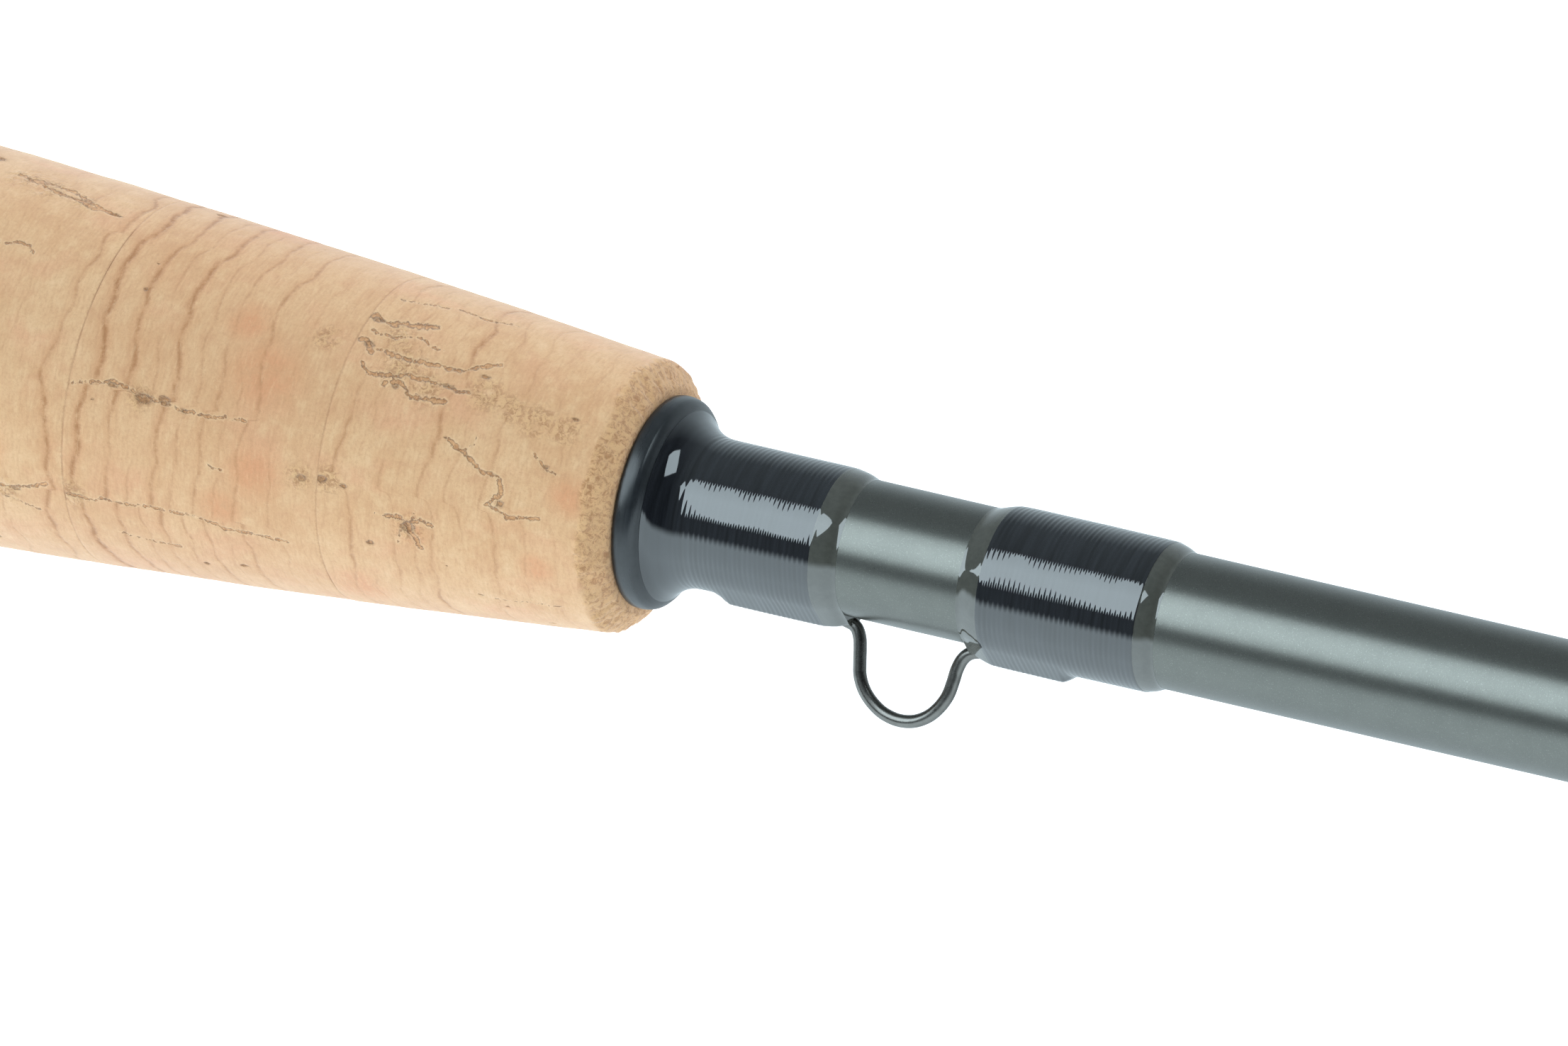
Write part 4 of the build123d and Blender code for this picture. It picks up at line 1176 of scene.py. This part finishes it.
# The middle of a closed end stops this far from the axis
AXIS_GAP = 0.02 * MM
CAP_DISH = 0.35 * MM
CAP_SIDE_START = 6.2 * MM
CAP_GROOVE_FROM_END = 2.6 * MM
CAP_GROOVE_HALF_WIDTH = 0.22 * MM
CAP_GROOVE_DEPTH = 0.3 * MM
CAP_ROUGHNESS = 0.025 * MM
CAP_CRUMB = 0.9 * MM
TRIM_V = (0.25 * MM, 0.2 * MM)
TRIM_ROUNDING = 0.5 * MM
SEAT_WALL = 1.3 * MM
SEAT_END_BEVEL = 0.2 * MM
SEAT_ROW = 0.13 * MM
SEAT_THREAD_PITCH = 1.5 * MM
SEAT_THREAD_DEPTH = 0.32 * MM
KEYWAY_BEHIND_HOOD = 26.0 * MM
KEYWAY_HALF_WIDTH = 1.2 * MM
KEYWAY_DEPTH = 0.6 * MM


def rounded(corners, radius, steps=6):
    """A profile of (x, radius) corners in metres with each corner rounded off by up to the given radius."""
    corners = [np.array(c, float) for c in corners]
    made = []
    for before, corner, after in zip([corners[-1]] + corners[:-1], corners, corners[1:] + [corners[0]]):
        to_before, to_after = before - corner, after - corner
        reach = min(radius, np.linalg.norm(to_before) / 2.2, np.linalg.norm(to_after) / 2.2)
        first = corner + to_before / np.linalg.norm(to_before) * reach
        last = corner + to_after / np.linalg.norm(to_after) * reach
        for t in np.linspace(0, 1, steps):
            made.append((1 - t) ** 2 * first + 2 * t * (1 - t) * corner + t ** 2 * last)
    return np.array(made)


def make_butt_cap():
    """Domed rubber-cork cap with a shallow dish in its face and a groove near its front."""
    end, full = high("butt_cap").x, high("butt_cap").z
    bore = BLANK_BUTT_RADIUS + BORE_GAP
    face = curve_through([
        (CAP_DISH, AXIS_GAP), (0.34 * MM, 3 * MM), (0.22 * MM, 6 * MM), (0.02 * MM, 8.2 * MM),
        (0.0, 8.8 * MM),
        (0.25 * MM, full - 3.4 * MM), (1.15 * MM, full - 1.55 * MM), (2.6 * MM, full - 0.4 * MM),
        (4.1 * MM, full), (6.0 * MM, full),
    ], 70)
    x = np.linspace(CAP_SIDE_START, end, 70)
    groove = np.exp(-((x - (end - CAP_GROOVE_FROM_END)) / CAP_GROOVE_HALF_WIDTH) ** 4)
    outer = np.concatenate([face, np.stack([x, full - CAP_GROOVE_DEPTH * groove], 1)])
    segments = 220
    along, around = turned_grid(outer[:, 0], segments)
    push = lattice(along, around, CAP_CRUMB, full, np.random.default_rng(11)) * CAP_ROUGHNESS
    push *= smooth(outer[:, 1:2], 5 * MM, 9 * MM)
    profile = [*outer, (end, bore), (BLANK_START, bore), (BLANK_START, AXIS_GAP)]
    attach(lathe("butt_cap", profile, segments, push, sharp=50.0), "butt_cap", make_butt_material())


def make_trim_ring():
    """Polished ring with a V groove turned round its middle."""
    start, end, full = low("rear_trim_ring").x, high("rear_trim_ring").x, high("rear_trim_ring").z
    bore = blank_radius(start) + BORE_GAP
    middle, (half_width, depth) = (start + end) / 2, TRIM_V
    profile = rounded([
        (start, bore), (start, full), (middle - half_width, full), (middle, full - depth),
        (middle + half_width, full), (end, full), (end, bore),
    ], TRIM_ROUNDING)
    attach(lathe("rear_trim_ring", profile, 200), "rear_trim_ring", TRIM)


def make_seat_body():
    """Seat tube with the nut's rolled thread and the keyway that stops the sliding hood from turning."""
    start, end, full = low("reel_seat_body").x, high("reel_seat_body").x, high("reel_seat_body").z
    bore = full - SEAT_WALL
    keyway_start = low("sliding_hood").x - KEYWAY_BEHIND_HOOD
    plain = np.linspace(start + SEAT_END_BEVEL, keyway_start - 0.1 * MM, 24)
    threaded = np.arange(keyway_start, end - SEAT_END_BEVEL, SEAT_ROW)
    x = np.concatenate([[start], plain, threaded, [end]])
    outer = np.full_like(x, full)
    outer[[0, -1]] -= SEAT_END_BEVEL
    segments = 176
    station, around = turned_grid(x, segments)
    phase = (station / SEAT_THREAD_PITCH - around / TURN) % 1.0
    groove = smooth(np.abs(phase - 0.5), 0.38, 0.14)
    run_in = smooth(station, keyway_start + 1.0 * MM, keyway_start + 2.5 * MM)
    run_out = smooth(station, end - 0.8 * MM, end - 1.6 * MM)
    push = -SEAT_THREAD_DEPTH * groove * run_in * run_out
    across = full * np.abs(np.sin(around))
    key = (across < KEYWAY_HALF_WIDTH) & (np.cos(around) > 0) & (station >= keyway_start)
    floor = (full - KEYWAY_DEPTH) / np.maximum(np.cos(around), 0.5) - outer[:, None]
    push = np.where(key, np.minimum(push, floor), push)
    profile = [*zip(x, outer), (end, bore), (start, bore)]
    attach(lathe("reel_seat_body", profile, segments, push, sharp=35.0), "reel_seat_body", SEAT_PLASTIC)


make_butt_cap()
make_trim_ring()
make_seat_body()

# ---- guides

BAND_HALF_WIDTH = 0.58 * MM
BAND_ROUNDING = 0.3 * MM
LEG_SPREAD = math.radians(50)
COAT = 0.30 * MM
COAT_OVER_FOOT = 0.13 * MM
COAT_RUN_OUT = 0.95 * MM
BARE_COAT = 0.85 * MM
COAT_ROW = 0.055 * MM
COAT_SEGMENTS = 144


def ceramic_ring(node):
    """A polished insert with fully rounded lips. Returns its station, outer radius and centre."""
    lowest, highest = low(node), high(node)
    station, width, radius = (lowest.x + highest.x) / 2, highest.x - lowest.x, highest.z
    centre = (lowest.y + highest.y) / 2
    wall = 0.85 * MM + 0.11 * radius
    t = np.linspace(0, TURN, 28, endpoint=False)
    x = station + width / 2 * np.sign(np.cos(t)) * np.abs(np.cos(t)) ** 0.6
    r = radius - wall / 2 + wall / 2 * np.sign(np.sin(t)) * np.abs(np.sin(t)) ** 0.7
    piece = merged(f"visual_{node}", [lathe_part(np.stack([x, r], 1), 128, centre=centre)])
    attach(piece, node, CERAMIC)
    return station, radius, centre


def ring_band(station, inner, outer, segments, centre):
    """The band that holds a ceramic ring."""
    back, front = station - BAND_HALF_WIDTH, station + BAND_HALF_WIDTH
    section = rounded([(back, inner), (back, outer), (front, outer), (front, inner)], BAND_ROUNDING)
    return lathe_part(section, segments, centre=centre)


def formed_leg(route, count, station, wire, reach, foot_length, foot_half_width):
    """A guide's leg, flattened into its foot: its tube, and the foot's stations, heights and half widths."""
    line = curve_through(route, count)
    away = np.abs(line[:, 0] - station)
    flattened = smooth(away, reach - 0.8 * MM, reach + 1.2 * MM)
    toe = smooth(away, reach + 0.35 * foot_length, reach + foot_length - 0.9 * MM)
    joined = 0.5 + 0.5 * smooth(away, 0.2 * MM, 1.6 * MM)
    across = (wire * joined + (foot_half_width - wire) * flattened) * (1 - 0.4 * toe)
    tall = wire * joined * (1 - 0.58 * flattened) * (1 - 0.7 * toe)
    return tube_mesh(line, across, tall, 20), (line[:, 0], tall - line[:, 1], across + line[:, 2])


def guide(number):
    """One guide: insert ring, frame of formed wire and band, and its foot wraps."""
    station, radius, centre = ceramic_ring(f"guide_{number}_ring")
    height = -centre
    wire = 0.34 * MM + 0.022 * radius
    foot_width = 1.1 * MM + 0.08 * radius
    foot_length = 6.5 * MM + 0.45 * radius
    reach = 0.42 * height
    under = section_radius(station - height) + BORE_GAP
    shape = (station, wire, reach, foot_length)

    def foot_route(direction, strip):
        """The last points of a leg's route, where it lies along the blank as a foot."""
        flat = under + 0.42 * wire
        slim = under + 0.42 * 0.8 * wire
        return [
            (station + direction * (reach + 0.4 * MM), -(under + 0.75 * wire), strip),
            (station + direction * (reach + 1.6 * MM), -flat, strip),
            (station + direction * (reach + 0.5 * foot_length), -slim, strip * 0.95),
            (station + direction * (reach + foot_length - 0.9 * MM), -(under + 0.1 * MM), strip * 0.6),
        ]

    parts = [ring_band(station, radius - 0.02 * MM, radius + 0.72 * MM, 128, centre)]
    middle = radius + 0.45 * MM
    for side in (-1, 1):
        top_y, top_z = -height + middle * math.cos(LEG_SPREAD), side * middle * math.sin(LEG_SPREAD)
        strip = side * foot_width / 4
        route = [
            (station - 0.05 * MM, top_y, top_z),
            (station - 0.14 * reach, top_y + 0.13 * height, top_z * 0.93),
            (station - 0.5 * reach, top_y * 0.52 - under * 0.48, top_z * 0.5 + strip * 0.5),
            (station - 0.86 * reach, -(under + wire + 1.1 * MM), strip * 1.25), *foot_route(-1, strip),
        ]
        leg, foot = formed_leg(route, 90, *shape, foot_width / 4 + 0.03 * MM)
        parts.append(leg)
    feet = [(-1, foot)]
    if high(f"guide_{number}_frame").x > station + reach:
        top_y = -height + radius + 0.4 * MM
        route = [
            (station + 0.05 * MM, top_y, 0), (station + 0.25 * reach, top_y * 0.74 - under * 0.26, 0),
            (station + 0.84 * reach, -(under + wire + 0.7 * MM), 0), *foot_route(1, 0),
        ]
        leg, foot = formed_leg(route, 80, *shape, foot_width / 2)
        parts.append(leg)
        feet.append((1, foot))
    attach(merged(f"visual_guide_{number}_frame", parts), f"guide_{number}_frame", GUIDE_METAL)
    wraps = []
    for direction, foot in feet:
        ends = (station + direction * (reach + out) for out in (1.2 * MM, foot_length + 1.6 * MM))
        wraps.append(thread_wrap(*sorted(ends), number, foot))
    wrap_piece(f"guide_{number}_wraps", wraps)


def coat_over_foot(x, around, bare, thick, foot):
    """Extra radius of a thread band over a foot: a flat top, and flanks that meet the round as tangents."""
    along, heights, half_widths = foot
    order = np.argsort(along)
    top = np.interp(x, along[order], heights[order]) + COAT_OVER_FOOT * thick / COAT - 0.02 * MM
    wide = np.interp(x, along[order], half_widths[order]) + 0.1 * MM
    top, wide, bare = top[:, None], wide[:, None], bare[:, None]
    corner = np.hypot(top, wide)
    tangent = np.arctan2(wide, top) + np.arccos(np.clip(bare / corner, -1, 1))
    away = np.abs(around - math.pi)
    flat = top / np.maximum(np.cos(away), 0.3)
    flank = bare / np.cos(np.clip(tangent - away, 0, 1.2))
    rise = np.maximum(np.minimum(flat, flank) - bare, 0)
    rise[(x < along.min()) | (x > along.max())] = 0
    return np.where(corner > bare, rise, 0)


def thread_wrap(start, end, seed, foot=None):
    """Points, faces and thread cover of a gloss-coated band, raised over a guide's foot if it has one."""
    rng = np.random.default_rng(400 + seed)
    x = np.linspace(start, end, int((end - start) / COAT_ROW))
    ends = np.minimum(x - start, end - x)
    round_end = 1 - (1 - np.clip(ends / COAT_RUN_OUT, 0, 1)) ** 2
    thick = COAT * np.sqrt(np.clip(round_end, 0, 1)) + 0.006 * MM
    base = np.array([section_radius(v) for v in x])
    station, around = turned_grid(x, COAT_SEGMENTS)
    inside = ends - BARE_COAT
    covered = smooth(inside, -0.1 * MM, 0.2 * MM)[:, None]
    push = 0.003 * MM * covered * thread_ripple(station, around, base.mean(), rng)
    push += lattice(station, around, 2.2 * MM, base.mean(), rng) * 0.008 * MM * covered
    if foot:
        push += coat_over_foot(x, around, base + thick, thick, foot)
    bore = [(end, base[-1] - 0.01 * MM), (start, base[0] - 0.01 * MM)]
    points, faces = lathe_part([*zip(x, base + thick), *bore], COAT_SEGMENTS, push)
    cover = np.repeat(np.append(inside / MM, np.zeros(len(bore))), COAT_SEGMENTS)
    return points, faces, cover


def wrap_piece(node, wraps):
    piece = merged(f"visual_{node}", [wrap[:2] for wrap in wraps], 60.0)
    set_attribute(piece, "cover", np.concatenate([wrap[2] for wrap in wraps]))
    attach(piece, node, GUIDE_GLOSS)


def make_tip_top():
    """Tip top: tube over the blank's end, two braces and a banded insert ring."""
    station, radius, centre = ceramic_ring("tip_top_ring")
    tube_start, tube_end = low("tip_top_frame").x, TIP_SECTION_END + 1.0 * MM
    bore = section_radius(tube_start) + BORE_GAP
    full = bore + 0.35 * MM
    cap = TIP_SECTION_END + 0.08 * MM
    sleeve = rounded([
        (tube_start, bore), (tube_start, full), (tube_end, full), (tube_end, AXIS_GAP), (cap, AXIS_GAP),
        (cap, bore),
    ], 0.18 * MM)
    band = ring_band(station, radius - 0.02 * MM, radius + 0.66 * MM, 96, centre)
    parts = [band, lathe_part(sleeve, 64)]
    thick = np.full(40, 0.32 * MM)
    for side in (-1, 1):
        line = curve_through([
            (tube_start + 1.2 * MM, -full + 0.12 * MM, side * 0.42 * MM),
            (tube_start + 3.4 * MM, -full - 0.25 * MM, side * 0.8 * MM),
            (station - 3.4 * MM, centre * 0.72, side * (radius - 0.5 * MM)),
            (station, centre - 0.4 * MM, side * (radius + 0.33 * MM)),
        ], len(thick))
        parts.append(tube_mesh(line, thick, thick, 16, (0.0, 0.3, 1.0)))
    attach(merged("visual_tip_top_frame", parts), "tip_top_frame", GUIDE_METAL)


for number in range(1, 7):
    guide(number)
make_tip_top()
for seed, node in enumerate(("ferrule_wrap_butt", "ferrule_wrap_tip", "tip_top_wrap"), 21):
    wrap_piece(node, [thread_wrap(low(node).x, high(node).x, seed)])
